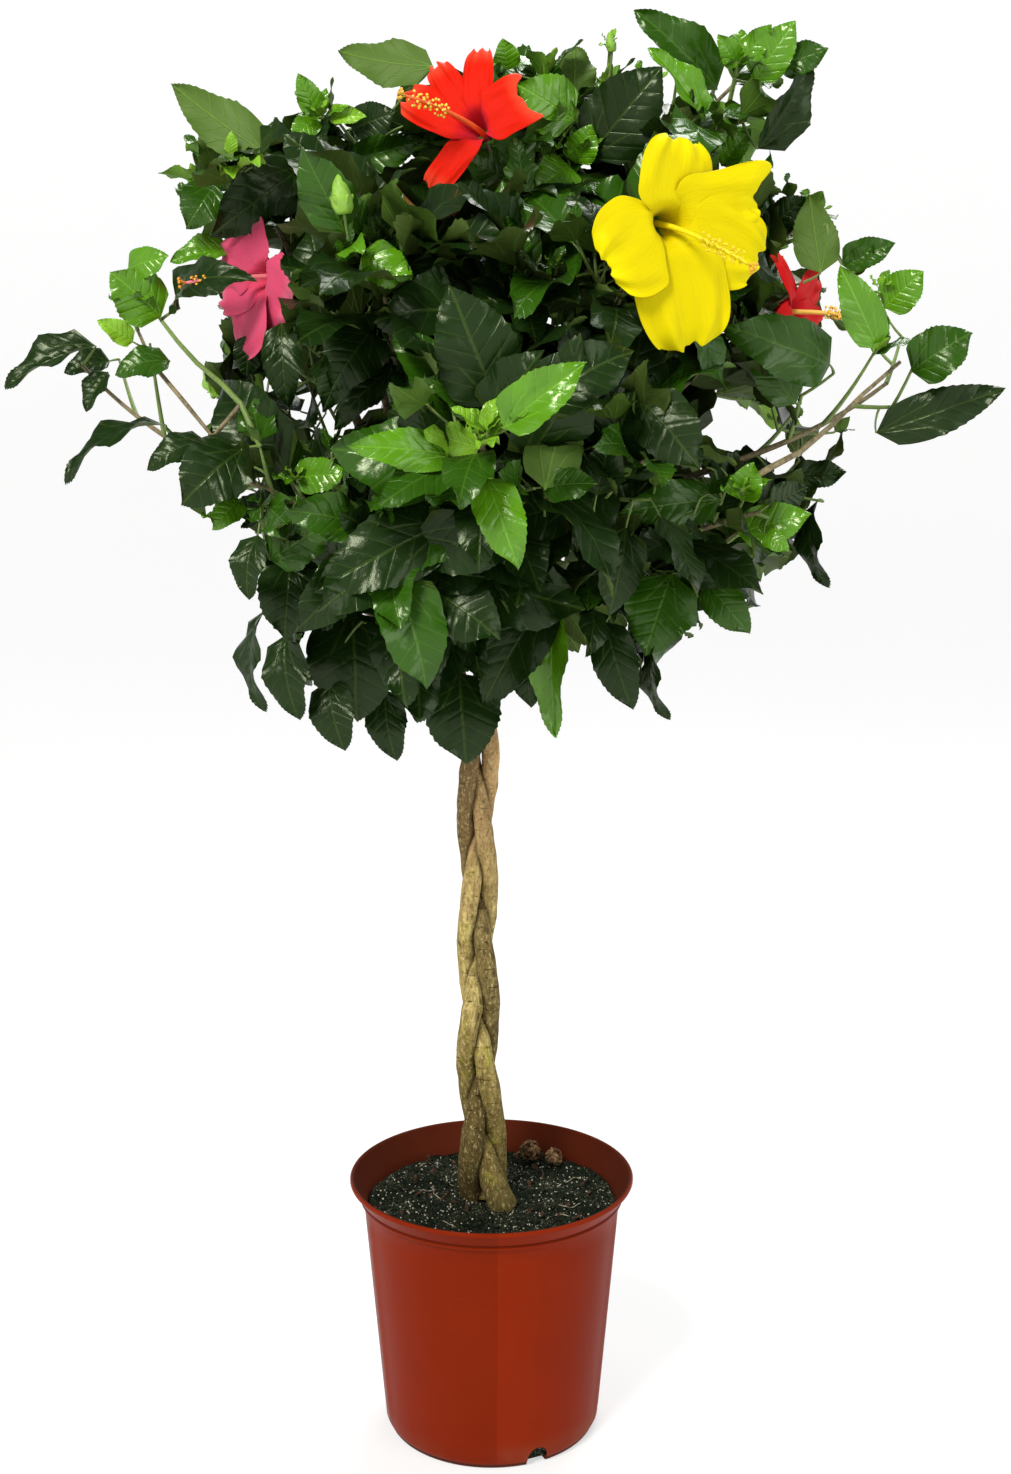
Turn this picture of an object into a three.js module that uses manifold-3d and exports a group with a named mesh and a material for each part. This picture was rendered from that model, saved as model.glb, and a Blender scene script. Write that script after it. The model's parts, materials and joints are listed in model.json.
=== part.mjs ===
// A hibiscus shrub grown as a braided standard in a round nursery pot.
//
// Millimetres, +Z up. The origin is the centre of the pot's flat underside, and the plant's
// front looks along -Y. Three stems stand on the soil, are braided up to the crown, and part
// there into three leaders. Each bough leaves a leader and ends where its mass of foliage
// begins. A mass is one shoot with side shoots and leaves, and four of them end in a flower.

import * as THREE from "three";
import { mergeVertices } from "three/addons/utils/BufferGeometryUtils.js";
import Module from "manifold-3d";

const wasm = await Module();
wasm.setup();

const { Vector2, Vector3 } = THREE;
const UP = new Vector3(0, 0, 1);
const GOLDEN_ANGLE = THREE.MathUtils.degToRad(137.5);

// Clearance between solids that touch on the real plant
const CLEARANCE = 0.3;

// Pot
const POT_HEIGHT = 235;
const RIM_RADIUS = 127;
const LIP_HEIGHT = 20;
const LIP_BOTTOM_RADIUS = 118;
const BODY_TOP_RADIUS = 115;
const BODY_BOTTOM_RADIUS = 97;
const FOOT_RADIUS = 94;
const FOOT_CHAMFER = 8;
const POT_WALL = 2.6;
const POT_FLOOR = 4;
const RIM_EDGE = 1.2;
const RIM_BEAD_HEIGHT = 5;
const LIP_GROOVE = 1.5;
const POT_SEGMENTS = 36;
const NOTCH_COUNT = 3;
const NOTCH_WIDTH = 19;
const NOTCH_HEIGHT = 18;
const NOTCH_BOTTOM = -1;
const NOTCH_DEPTH = 24;
const FIRST_NOTCH_ANGLE = THREE.MathUtils.degToRad(-65);

// Soil
const SOIL_TOP = 209;
const SOIL_FLAT_RADIUS = 48;
const SOIL_RINGS = [70, 92];
const SOIL_EDGE_DROP = 2;
const SOIL_RIPPLE = 1.6;
const SOIL_FINE_RIPPLE = 1;
const SOIL_SEGMENTS = 24;

// Braided stems
const STEM_BASE = SOIL_TOP + CLEARANCE;
const BRAID_TOP = 655;
const BRAID_PERIOD = 330;
const BRAID_TURN = THREE.MathUtils.degToRad(8);
const BRAID_WIDTH_RATIO = 1.07;
const BRAID_DEPTH_RATIO = 0.74;
const STEM_FOOT_RADIUS = 6.6;
const STEM_TOP_RADIUS = 5.6;
const LEADER_TIP_RADIUS = 4.2;
const ROOT_FLARE = 2.6;
const FLARE_HEIGHT = 45;
const LEAN = -12;
const FOOT_OFFSET = 10;
const FOOT_OFFSET_HEIGHT = 55;
const STEM_SIDES = 8;
const STEM_STEPS = 22;
const PARTING_START = BRAID_TOP - 30;
const PARTING_END = BRAID_TOP + 55;

// Where each stem's leader ends above the braid
const LEADER_TIPS = [new Vector3(42, -18, 868), new Vector3(-66, 4, 872), new Vector3(-8, 44, 905)];
const STEM_NAMES = ["stem_right", "stem_left", "stem_back"];
const FIRST_FORK = 690;
const LAST_FORK_BELOW_TIP = 14;

// Boughs and shoots. A limb runs in one curve from its fork to the tip of its main shoot: its
// handles stand out and up from the fork and back and down from the tip, in shares of its length.
const FORK_OUT = 0.26;
const FORK_UP = 0.2;
const TIP_BACK = 0.28;
const TIP_DOWN = 0.2;
const HANGING_TIP_DOWN = -0.14;
const MOST_HANG = 0.6;
const FLOWER_BACK = 0.2;
const FLOWER_DOWN = 0.1;
const BOUGH_SHARE = 0.46;
const BOUGH_RADIUS = 4;
const BOUGH_TIP_RADIUS = 3;
const BOUGH_SIDES = 5;
const BOUGH_STEPS = 4;
const SHOOT_RADIUS = 2.9;
const SHOOT_TIP_RADIUS = 1.5;
const SHOOT_SIDES = 3;
const MAIN_SHOOT_STEPS = 5;

// Side shoots: where each one leaves the main shoot, and its length, in shares of the main shoot
const SIDE_SHOOTS = [
  { from: 0.28, length: 0.5 },
  { from: 0.58, length: 0.4 },
];
const SIDE_SHOOT_TURN = 2.6;
const SIDE_SHOOT_ANGLE = THREE.MathUtils.degToRad(51);
const SIDE_SHOOT_LIFT = 0.25;
const SIDE_SHOOT_SAG = 0.08;
const SIDE_SHOOT_RADIUS = 2.2;
const SIDE_SHOOT_STEPS = 3;
const SIDE_LEAF_SHARE = 0.35;
const SHOOT_SHARES_TESTED = [0.25, 0.5, 0.75, 1];

// Leaves: the oldest on a shoot is full size, and the youngest at its tip is smallest
const LEAF_LENGTH = 112;
const LEAF_WIDTH_SHARE = 0.62;
const LEAF_THICKNESS = 2.2;
const LEAF_WIDEST = 0.38;
const LEAF_ROOT_DEPTH = 0.7;
const PETIOLE = 30;
const YOUNG_PETIOLE = 10;
const YOUNG_LEAF_SHARE = 0.62;
const LEAF_ARCH = 0.07;
const OLD_LEAF_ANGLE = THREE.MathUtils.degToRad(74);
const YOUNG_LEAF_ANGLE = THREE.MathUtils.degToRad(32);
const LEAF_DROOP = 0.34;
const LEAF_FACE_LIFT = 0.5;
const OLDEST_LEAF_PLACE = 0.1;
const FULL_GROWN_AGE = 0.55;
const AGE_START = 0.15;
const AGE_SCATTER = 0.3;
const TURN_SCATTER = 0.5;
const OUTLINE_STEPS = 8;
const SPACE_MARGIN = 1.2;
const LIMB_MARGIN = 0.6;
const LEAF_SIZES_TRIED = [1, 0.82, 0.64];
const LEAF_TURNS_TRIED = [0, 0.5, -0.5, 1];
const MOST_SHARED_VOLUME = 1;
const FIRST_SEED = 1000;
const SEED_STEP = 77;

// Corners closer than this are one corner, and a join's short edges go within the second distance
const MERGE_DISTANCE = 1e-4;
const SIMPLIFY = 0.1;

// Flowers: sizes are shares of a flower's radius. A petal's stations give how far out and how
// far along the flower's axis each one lies, and half of its width.
const PETAL_COUNT = 5;
const PETAL_THICKNESS = 2.4;
const PETAL_STATIONS = [
  { out: 0.1, along: -0.08, half: 0 },
  { out: 0.4, along: 0.02, half: 0.25 },
  { out: 0.8, along: 0.08, half: 0.43 },
  { out: 1, along: -0.02, half: 0 },
];
const TUBE_SHARE = 0.5;
const SHOOT_END_IN_TUBE = 0.8;
const THROAT_SHARE = 0.2;
const TUBE_SIDES = 6;
const COLUMN_RADIUS = 2.6;
const COLUMN_TIP_RADIUS = 3.9;
const COLUMN_SHARE = 0.9;
const COLUMN_BEND = 0.3;
const COLUMN_SIDES = 4;
const COLUMN_STEPS = 3;
const CALYX_RADIUS = 5;
const FLOWER_SPACE = 22;

// The masses of foliage. Each reaches out from the plant's axis to the tip of its main shoot,
// which lies at an azimuth from +X, a reach from the axis and a height above the ground.
// stem is the number of the leader that carries it. A mass with a flower gives its radius,
// the way that it faces and the way that its column leans.
const MASSES = [
  { name: "front_low", stem: 0, azimuth: -84, reach: 112, height: 762, leaves: 13, hang: 0.5 },
  { name: "low_right", stem: 0, azimuth: -26, reach: 146, height: 788, leaves: 12, hang: 0.45 },
  { name: "right_low", stem: 0, azimuth: -22, reach: 244, height: 836, leaves: 13, hang: 0.22 },
  { name: "front_right", stem: 0, azimuth: -58, reach: 222, height: 880, leaves: 13, hang: 0.15 },
  { name: "front_mid", stem: 0, azimuth: -92, reach: 250, height: 905, leaves: 14, hang: 0.1 },
  { name: "right_reach", stem: 0, azimuth: -3, reach: 348, height: 952, leaves: 14, hang: -0.12 },
  {
    name: "scarlet_flower_shoot", stem: 0, azimuth: 4, reach: 256, height: 993, leaves: 6, hang: 0.1,
    flower: { radius: 50, facing: [0.86, -0.48, 0.05], column: [0.95, -0.3, -0.1] },
  },
  { name: "front_high", stem: 0, azimuth: -80, reach: 134, height: 1006, leaves: 13, hang: 0.05 },
  {
    name: "yellow_flower_shoot", stem: 0, azimuth: -56.6, reach: 238, height: 1048, leaves: 6, hang: 0.1,
    flower: { radius: 78, facing: [0.3, -0.94, -0.05], column: [0.72, -0.5, -0.47] },
  },
  { name: "left_low", stem: 1, azimuth: 202, reach: 154, height: 752, leaves: 13, hang: 0.5 },
  { name: "front_left", stem: 1, azimuth: 247, reach: 214, height: 826, leaves: 13, hang: 0.25 },
  { name: "left_mid", stem: 1, azimuth: 216, reach: 222, height: 858, leaves: 14, hang: 0.15 },
  { name: "back_left", stem: 1, azimuth: 136, reach: 300, height: 925, leaves: 14, hang: 0.1 },
  { name: "left_reach", stem: 1, azimuth: 178, reach: 342, height: 948, leaves: 14, hang: -0.2 },
  {
    name: "pink_flower_shoot", stem: 1, azimuth: 195, reach: 190, height: 1018, leaves: 6, hang: 0.1,
    flower: { radius: 54, facing: [-0.82, -0.56, 0], column: [-0.95, -0.25, -0.1] },
  },
  { name: "front_top", stem: 1, azimuth: 240, reach: 176, height: 1036, leaves: 13, hang: 0 },
  { name: "left_top", stem: 1, azimuth: 180, reach: 224, height: 1128, leaves: 13, hang: -0.15 },
  { name: "top_left", stem: 1, azimuth: 162, reach: 116, height: 1156, leaves: 12, hang: 0 },
  { name: "back_low", stem: 2, azimuth: 84, reach: 190, height: 785, leaves: 13, hang: 0.4 },
  { name: "back_mid", stem: 2, azimuth: 92, reach: 285, height: 905, leaves: 14, hang: 0.15 },
  { name: "back_right", stem: 2, azimuth: 44, reach: 305, height: 935, leaves: 14, hang: 0.1 },
  { name: "right_top", stem: 2, azimuth: 14, reach: 274, height: 1068, leaves: 13, hang: -0.05 },
  { name: "back_top", stem: 2, azimuth: 88, reach: 165, height: 1095, leaves: 12, hang: 0 },
  {
    name: "red_flower_shoot", stem: 2, azimuth: 263, reach: 82, height: 1130, leaves: 6, hang: 0,
    flower: { radius: 60, facing: [-0.5, -0.78, 0.38], column: [-0.72, -0.55, 0.42] },
  },
  { name: "top_right", stem: 2, azimuth: 9, reach: 204, height: 1176, leaves: 12, hang: -0.1 },
  { name: "top_mid", stem: 2, azimuth: 28, reach: 74, height: 1150, leaves: 12, hang: 0 },
];

// Colours and roughness
const POT_ROUGHNESS = 0.42;
const SOIL_ROUGHNESS = 0.95;
const BARK_ROUGHNESS = 0.8;
const LEAF_ROUGHNESS = 0.5;
const POT_COLOUR = 0x8e3520;
const SOIL_COLOUR = 0x17190f;
const BARK_COLOUR = 0x77683f;
const BOUGH_COLOUR = 0x6b6a3c;
const LEAF_COLOUR = 0x3c6b1c;
const FLOWER_COLOURS = {
  yellow_flower_shoot: 0xe8d400,
  red_flower_shoot: 0xd8210c,
  pink_flower_shoot: 0xc8486c,
  scarlet_flower_shoot: 0xd0301c,
};

// A generator that gives the same row of numbers from 0 to 1 for the same seed
function seededRandom(seed) {
  let state = seed >>> 0;
  return () => {
    state = (Math.imul(state, 1664525) + 1013904223) >>> 0;
    return state / 4294967296;
  };
}

function mix(from, to, share) {
  return from + (to - from) * share;
}

function smoothstep(from, to, value) {
  const share = Math.min(Math.max((value - from) / (to - from), 0), 1);
  return share * share * (3 - 2 * share);
}

// Geometry to solid and back

function meshVolume(positions, index) {
  const corner = [new Vector3(), new Vector3(), new Vector3()];
  let volume = 0;
  for (let i = 0; i < index.length; i += 3) {
    for (let k = 0; k < 3; k += 1) {
      corner[k].fromArray(positions, index[i + k] * 3);
    }
    volume += corner[0].dot(corner[1].cross(corner[2])) / 6;
  }
  return volume;
}

function toSolid(geometry) {
  const plain = geometry.clone();
  plain.deleteAttribute("normal");
  plain.deleteAttribute("uv");
  const merged = mergeVertices(plain, MERGE_DISTANCE);
  const positions = merged.attributes.position.array;
  const index = [];
  const source = merged.index.array;
  for (let i = 0; i < source.length; i += 3) {
    const [a, b, c] = [source[i], source[i + 1], source[i + 2]];
    if (a !== b && b !== c && c !== a) {
      index.push(a, b, c);
    }
  }
  if (meshVolume(positions, index) < 0) {
    index.reverse();
  }
  return new wasm.Manifold(new wasm.Mesh({
    numProp: 3,
    vertProperties: new Float32Array(positions),
    triVerts: new Uint32Array(index),
  }));
}

function toGeometry(solid) {
  const mesh = solid.getMesh();
  const geometry = new THREE.BufferGeometry();
  geometry.setAttribute("position", new THREE.BufferAttribute(mesh.vertProperties, 3));
  geometry.setIndex(new THREE.BufferAttribute(mesh.triVerts, 1));
  geometry.computeVertexNormals();
  return geometry;
}

// The largest body alone: loose scraps and the walls of sealed hollows are left behind
function mainBody(solid) {
  const bodies = solid.decompose();
  return bodies.reduce((best, body) => (body.volume() > best.volume() ? body : best));
}

function namedMesh(name, solid, colour, roughness) {
  const material = new THREE.MeshStandardMaterial({ color: colour, roughness, metalness: 0 });
  const mesh = new THREE.Mesh(toGeometry(solid), material);
  mesh.name = name;
  return mesh;
}

// Limbs: a cylinder whose rings are set square to a path

function crossAxis(direction) {
  const size = [Math.abs(direction.x), Math.abs(direction.y), Math.abs(direction.z)];
  const least = size.indexOf(Math.min(...size));
  return new Vector3(least === 0 ? 1 : 0, least === 1 ? 1 : 0, least === 2 ? 1 : 0);
}

function pathDirection(pointAt, share) {
  const step = 0.01;
  const before = pointAt(Math.max(share - step, 0));
  const after = pointAt(Math.min(share + step, 1));
  return after.sub(before).normalize();
}

function limbSolid({ pointAt, radiusAt, sides, steps, flatFoot = false }) {
  const geometry = new THREE.CylinderGeometry(1, 1, 1, sides, steps);
  const position = geometry.attributes.position;
  const reference = crossAxis(pointAt(1).sub(pointAt(0)).normalize());
  for (let i = 0; i < position.count; i += 1) {
    const share = THREE.MathUtils.clamp(position.getY(i) + 0.5, 0, 1);
    const axis = flatFoot && share === 0 ? UP.clone() : pathDirection(pointAt, share);
    const across = reference.clone().addScaledVector(axis, -reference.dot(axis)).normalize();
    const other = new Vector3().crossVectors(across, axis);
    const radius = radiusAt(share);
    const place = pointAt(share);
    place.addScaledVector(across, position.getX(i) * radius);
    place.addScaledVector(other, position.getZ(i) * radius);
    position.setXYZ(i, place.x, place.y, place.z);
  }
  return toSolid(geometry);
}

// Pot: one turned shell with arched drain holes above its floor

function potProfile() {
  const lipBottom = POT_HEIGHT - LIP_HEIGHT;
  return [
    new Vector2(0, 0),
    new Vector2(FOOT_RADIUS, 0),
    new Vector2(BODY_BOTTOM_RADIUS, FOOT_CHAMFER),
    new Vector2(BODY_TOP_RADIUS, lipBottom - LIP_GROOVE),
    new Vector2(LIP_BOTTOM_RADIUS, lipBottom),
    new Vector2(RIM_RADIUS - RIM_EDGE, POT_HEIGHT - RIM_BEAD_HEIGHT),
    new Vector2(RIM_RADIUS, POT_HEIGHT - RIM_BEAD_HEIGHT / 2),
    new Vector2(RIM_RADIUS - RIM_EDGE / 2, POT_HEIGHT),
    new Vector2(RIM_RADIUS - POT_WALL, POT_HEIGHT),
    new Vector2(RIM_RADIUS - RIM_EDGE - POT_WALL, POT_HEIGHT - RIM_BEAD_HEIGHT),
    new Vector2(LIP_BOTTOM_RADIUS - POT_WALL, lipBottom),
    new Vector2(BODY_TOP_RADIUS - POT_WALL, lipBottom - 2 * LIP_GROOVE),
    new Vector2(innerRadius(POT_FLOOR), POT_FLOOR),
    new Vector2(0, POT_FLOOR),
  ];
}

// Radius of the pot's inner wall at a height below its lip
function innerRadius(height) {
  const share = (height - FOOT_CHAMFER) / (POT_HEIGHT - LIP_HEIGHT - FOOT_CHAMFER);
  return mix(BODY_BOTTOM_RADIUS, BODY_TOP_RADIUS, share) - POT_WALL;
}

function lathe(profile, segments) {
  const geometry = new THREE.LatheGeometry(profile, segments);
  geometry.rotateX(Math.PI / 2);
  return geometry;
}

function drainHole(angle) {
  const half = NOTCH_WIDTH / 2;
  const arch = new THREE.Shape();
  arch.moveTo(-half, 0);
  arch.lineTo(half, 0);
  arch.lineTo(half, NOTCH_HEIGHT - half);
  arch.absarc(0, NOTCH_HEIGHT - half, half, 0, Math.PI, false);
  const settings = { depth: NOTCH_DEPTH, bevelEnabled: false, curveSegments: 4 };
  const geometry = new THREE.ExtrudeGeometry(arch, settings);
  geometry.rotateX(Math.PI / 2);
  geometry.rotateZ(Math.PI / 2);
  geometry.translate(BODY_BOTTOM_RADIUS - NOTCH_DEPTH / 2, 0, NOTCH_BOTTOM);
  geometry.rotateZ(angle);
  return toSolid(geometry);
}

function makePot() {
  let pot = toSolid(lathe(potProfile(), POT_SEGMENTS));
  for (let i = 0; i < NOTCH_COUNT; i += 1) {
    pot = pot.subtract(drainHole(FIRST_NOTCH_ANGLE + (i * 2 * Math.PI) / NOTCH_COUNT));
  }
  return namedMesh("pot", mainBody(pot), POT_COLOUR, POT_ROUGHNESS);
}

// Soil: flat where the stems stand, a little uneven round them

function makeSoil() {
  const bottom = POT_FLOOR + CLEARANCE;
  const profile = [
    new Vector2(0, bottom),
    new Vector2(innerRadius(bottom) - CLEARANCE * 2, bottom),
    new Vector2(innerRadius(SOIL_TOP) - CLEARANCE * 2, SOIL_TOP - SOIL_EDGE_DROP),
    ...SOIL_RINGS.toReversed().map((radius) => new Vector2(radius, SOIL_TOP)),
    new Vector2(SOIL_FLAT_RADIUS, SOIL_TOP),
    new Vector2(0, SOIL_TOP),
  ];
  const geometry = lathe(profile, SOIL_SEGMENTS);
  const position = geometry.attributes.position;
  for (let i = 0; i < position.count; i += 1) {
    const [x, y, z] = [position.getX(i), position.getY(i), position.getZ(i)];
    const isRing = Math.hypot(x, y) > SOIL_FLAT_RADIUS + 1 && z === SOIL_TOP;
    if (isRing) {
      const angle = Math.atan2(y, x) + x / SOIL_FLAT_RADIUS;
      const ripple = SOIL_RIPPLE * Math.sin(3 * angle) + SOIL_FINE_RIPPLE * Math.sin(7 * angle);
      position.setZ(i, z + ripple);
    }
  }
  return namedMesh("soil", toSolid(geometry), SOIL_COLOUR, SOIL_ROUGHNESS);
}

// Stems

function stemRadius(height) {
  const braid = smoothstep(STEM_BASE, BRAID_TOP, height);
  const flare = ROOT_FLARE * Math.exp(-(height - STEM_BASE) / FLARE_HEIGHT);
  const stem = mix(STEM_FOOT_RADIUS, STEM_TOP_RADIUS, braid) + flare;
  return mix(stem, LEADER_TIP_RADIUS, smoothstep(BRAID_TOP, LEADER_TIPS[0].z, height));
}

// Centre of a strand of the braid: three strands run through a flat figure of eight
function braidPoint(stem, height) {
  const rise = height - STEM_BASE;
  const angle = BRAID_TURN + 2 * Math.PI * (rise / BRAID_PERIOD + stem / STEM_NAMES.length);
  const thickness = 2 * stemRadius(height);
  const halfWidth = thickness * BRAID_WIDTH_RATIO;
  const halfDepth = thickness * BRAID_DEPTH_RATIO;
  const lean = LEAN + FOOT_OFFSET * Math.exp(-rise / FOOT_OFFSET_HEIGHT);
  return new Vector3(
    lean + halfWidth * Math.sin(angle),
    halfDepth * Math.sin(2 * angle),
    height,
  );
}

// Centre of a stem at a height: in the braid, and above it on the line to its leader's tip
function stemPoint(stem, height) {
  const braided = braidPoint(stem, Math.min(height, PARTING_END));
  const hub = braidPoint(stem, BRAID_TOP);
  const tip = LEADER_TIPS[stem];
  const leader = hub.clone().lerp(tip, (height - BRAID_TOP) / (tip.z - BRAID_TOP));
  const place = braided.lerp(leader, smoothstep(PARTING_START, PARTING_END, height));
  place.z = height;
  return place;
}

function stemSolid(stem, extra) {
  const top = LEADER_TIPS[stem].z;
  return limbSolid({
    pointAt: (share) => stemPoint(stem, mix(STEM_BASE, top, share)),
    radiusAt: (share) => stemRadius(mix(STEM_BASE, top, share)) + extra,
    sides: STEM_SIDES,
    steps: STEM_STEPS,
    flatFoot: true,
  });
}

// Boughs

function flowerAxis(mass) {
  return new Vector3(...mass.flower.facing).normalize();
}

function massTip(mass) {
  const angle = THREE.MathUtils.degToRad(mass.azimuth);
  return new Vector3(mass.reach * Math.cos(angle), mass.reach * Math.sin(angle), mass.height);
}

// Forks are spread along each leader, the mass that hangs lowest taking the lowest one
function forkHeight(mass) {
  const sharers = MASSES.filter((other) => other.stem === mass.stem);
  const place = sharers.indexOf(mass) / (sharers.length - 1);
  return mix(FIRST_FORK, LEADER_TIPS[mass.stem].z - LAST_FORK_BELOW_TIP, place);
}

// One smooth line from the leader to the tip of the mass's main shoot
function limbCurve(mass) {
  const fork = stemPoint(mass.stem, forkHeight(mass));
  const tip = massTip(mass);
  if (mass.flower) {
    tip.addScaledVector(flowerAxis(mass), -mass.flower.radius * TUBE_SHARE * SHOOT_END_IN_TUBE);
  }
  const reach = tip.clone().sub(fork);
  const length = reach.length();
  const outward = new Vector3(reach.x, reach.y, 0).normalize();
  const first = fork.clone().addScaledVector(outward, length * FORK_OUT);
  first.addScaledVector(UP, length * FORK_UP);
  const second = tip.clone();
  if (mass.flower) {
    second.addScaledVector(flowerAxis(mass), -length * FLOWER_BACK);
    second.addScaledVector(UP, -length * FLOWER_DOWN);
  } else {
    second.addScaledVector(outward, -length * TIP_BACK);
    second.addScaledVector(UP, -length * mix(TIP_DOWN, HANGING_TIP_DOWN, mass.hang / MOST_HANG));
  }
  return new THREE.CubicBezierCurve3(fork, first, second, tip);
}

function boughSolid(mass, extra) {
  return limbSolid({
    pointAt: (share) => mass.curve.getPoint(share * BOUGH_SHARE),
    radiusAt: (share) => mix(BOUGH_RADIUS, BOUGH_TIP_RADIUS, share) + extra,
    sides: BOUGH_SIDES,
    steps: BOUGH_STEPS,
  });
}

// Shoots and their leaves

// A direction square to an axis, turned about it
function squareTo(axis, turn) {
  const across = crossAxis(axis);
  across.addScaledVector(axis, -across.dot(axis)).normalize();
  return across.applyAxisAngle(axis, turn);
}

// A shoot is a piece of a curve with its own thickness, from its foot to its tip
function makeShoot(pointAt, footRadius, steps) {
  return { pointAt, radiusAt: (share) => mix(footRadius, SHOOT_TIP_RADIUS, share), steps };
}

function mainShoot(mass) {
  const gap = CLEARANCE / mass.curve.getLength();
  const start = BOUGH_SHARE + gap;
  const pointAt = (share) => mass.curve.getPoint(mix(start, 1, share));
  return makeShoot(pointAt, SHOOT_RADIUS, MAIN_SHOOT_STEPS);
}

function sideShoot(main, from, turn, length) {
  const foot = main.pointAt(from);
  const axis = pathDirection(main.pointAt, from);
  const out = squareTo(axis, turn);
  const direction = axis.multiplyScalar(Math.cos(SIDE_SHOOT_ANGLE));
  direction.addScaledVector(out, Math.sin(SIDE_SHOOT_ANGLE));
  direction.addScaledVector(UP, SIDE_SHOOT_LIFT).normalize();
  const tip = foot.clone().addScaledVector(direction, length);
  const bend = foot.clone().lerp(tip, 0.5).addScaledVector(UP, -length * SIDE_SHOOT_SAG);
  const curve = new THREE.QuadraticBezierCurve3(foot, bend, tip);
  return makeShoot((share) => curve.getPoint(share), SIDE_SHOOT_RADIUS, SIDE_SHOOT_STEPS);
}

// Where a leaf stands on its shoot: age is 1 for the oldest and 0 for the one at the tip
function leafPlace(shoot, age, turn, hang) {
  const share = mix(1, OLDEST_LEAF_PLACE, age);
  const axis = pathDirection(shoot.pointAt, share);
  const radial = squareTo(axis, turn);
  const angle = mix(YOUNG_LEAF_ANGLE, OLD_LEAF_ANGLE, Math.sqrt(age));
  const rib = axis.clone().multiplyScalar(Math.cos(angle)).addScaledVector(radial, Math.sin(angle));
  rib.addScaledVector(UP, -(LEAF_DROOP * age + hang)).normalize();
  const face = axis.clone().multiplyScalar(Math.sin(angle)).addScaledVector(radial, -Math.cos(angle));
  face.addScaledVector(UP, LEAF_FACE_LIFT);
  face.addScaledVector(rib, -face.dot(rib)).normalize();
  const side = new Vector3().crossVectors(rib, face);
  return { root: shoot.pointAt(share), rib, face, side };
}

// A blade is a lathe of four sides, pressed flat and set at the stations of its path. It starts
// and ends in a point. toPoint gives the place of an offset along, across and through the blade.
function bladeSolid(stations, thickness, toPoint) {
  const profile = stations.map((station, i) => new Vector2(station.half > 0 ? 1 : 0, i));
  const geometry = new THREE.LatheGeometry(profile, 4);
  const position = geometry.attributes.position;
  for (let i = 0; i < position.count; i += 1) {
    const station = stations[Math.round(position.getY(i))];
    const across = position.getX(i) * station.half;
    const through = (position.getZ(i) * thickness) / 2;
    const point = toPoint(station, across, through);
    position.setXYZ(i, point.x, point.y, point.z);
  }
  return toSolid(geometry);
}

// A leaf has eight faces: from its root behind the twig's middle to its widest part, to its tip
function leafSolid(place, petiole, length) {
  const widest = petiole + length * LEAF_WIDEST;
  const half = (length * LEAF_WIDTH_SHARE) / 2;
  const lift = length * LEAF_ARCH;
  const stations = [
    { along: -LEAF_ROOT_DEPTH, half: 0, lift: 0 },
    { along: widest, half, lift },
    { along: petiole + length, half: 0, lift: -lift },
  ];
  return bladeSolid(stations, LEAF_THICKNESS, (station, across, through) => {
    const point = place.root.clone().addScaledVector(place.rib, station.along);
    return point.addScaledVector(place.side, across).addScaledVector(place.face, station.lift + through);
  });
}

// Spaces: every point of a mass is nearer to its own main shoot than to any other one

function segmentDistance(point, from, to) {
  const along = to.clone().sub(from);
  const share = THREE.MathUtils.clamp(point.clone().sub(from).dot(along) / along.lengthSq(), 0, 1);
  return point.distanceTo(from.clone().addScaledVector(along, share));
}

function spaceDistance(mass, point) {
  const from = mass.curve.getPoint(BOUGH_SHARE);
  const to = massTip(mass);
  const room = mass.flower ? FLOWER_SPACE : 0;
  return segmentDistance(point, from, to) - room;
}

function inOwnSpace(mass, points) {
  return points.every((point) => {
    const own = spaceDistance(mass, point) + SPACE_MARGIN;
    return MASSES.every((other) => other === mass || own < spaceDistance(other, point));
  });
}

// Points along the outline of a blade, close enough together to test its space
function outlinePoints(place, petiole, length) {
  const points = [];
  for (let step = 1; step <= OUTLINE_STEPS; step += 1) {
    const along = ((petiole + length) * step) / OUTLINE_STEPS;
    const widest = petiole + length * LEAF_WIDEST;
    const rest = petiole + length - widest;
    const share = along < widest ? along / widest : (petiole + length - along) / rest;
    const half = (length * LEAF_WIDTH_SHARE * share) / 2;
    const arch = length * LEAF_ARCH * (2 * share - 1);
    for (const sign of [-1, 0, 1]) {
      const point = place.root.clone().addScaledVector(place.rib, along);
      point.addScaledVector(place.side, sign * half).addScaledVector(place.face, arch);
      points.push(point);
    }
  }
  return points;
}

// True where the part of a solid that lies inside another one is at most this many cubic mm
function clearOf(solid, other, most = 0) {
  const shared = solid.intersect(other);
  return shared.isEmpty() || shared.volume() <= most;
}

// The first tried size and turn of one leaf that stays in its mass's space, clear of the limbs
// and of the leaves that already stand there
function fittingLeaf(mass, shoot, age, turn, limbs, others) {
  const grown = mix(YOUNG_LEAF_SHARE, 1, smoothstep(0, FULL_GROWN_AGE, age));
  for (const size of LEAF_SIZES_TRIED) {
    const length = LEAF_LENGTH * grown * size;
    const petiole = mix(YOUNG_PETIOLE, PETIOLE, age) * size;
    for (const nudge of LEAF_TURNS_TRIED) {
      const place = leafPlace(shoot, age, turn + nudge, mass.hang);
      if (inOwnSpace(mass, outlinePoints(place, petiole, length))) {
        const leaf = leafSolid(place, petiole, length);
        if (clearOf(leaf, limbs) && clearOf(leaf, others, MOST_SHARED_VOLUME)) {
          return leaf;
        }
      }
    }
  }
  return null;
}

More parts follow.
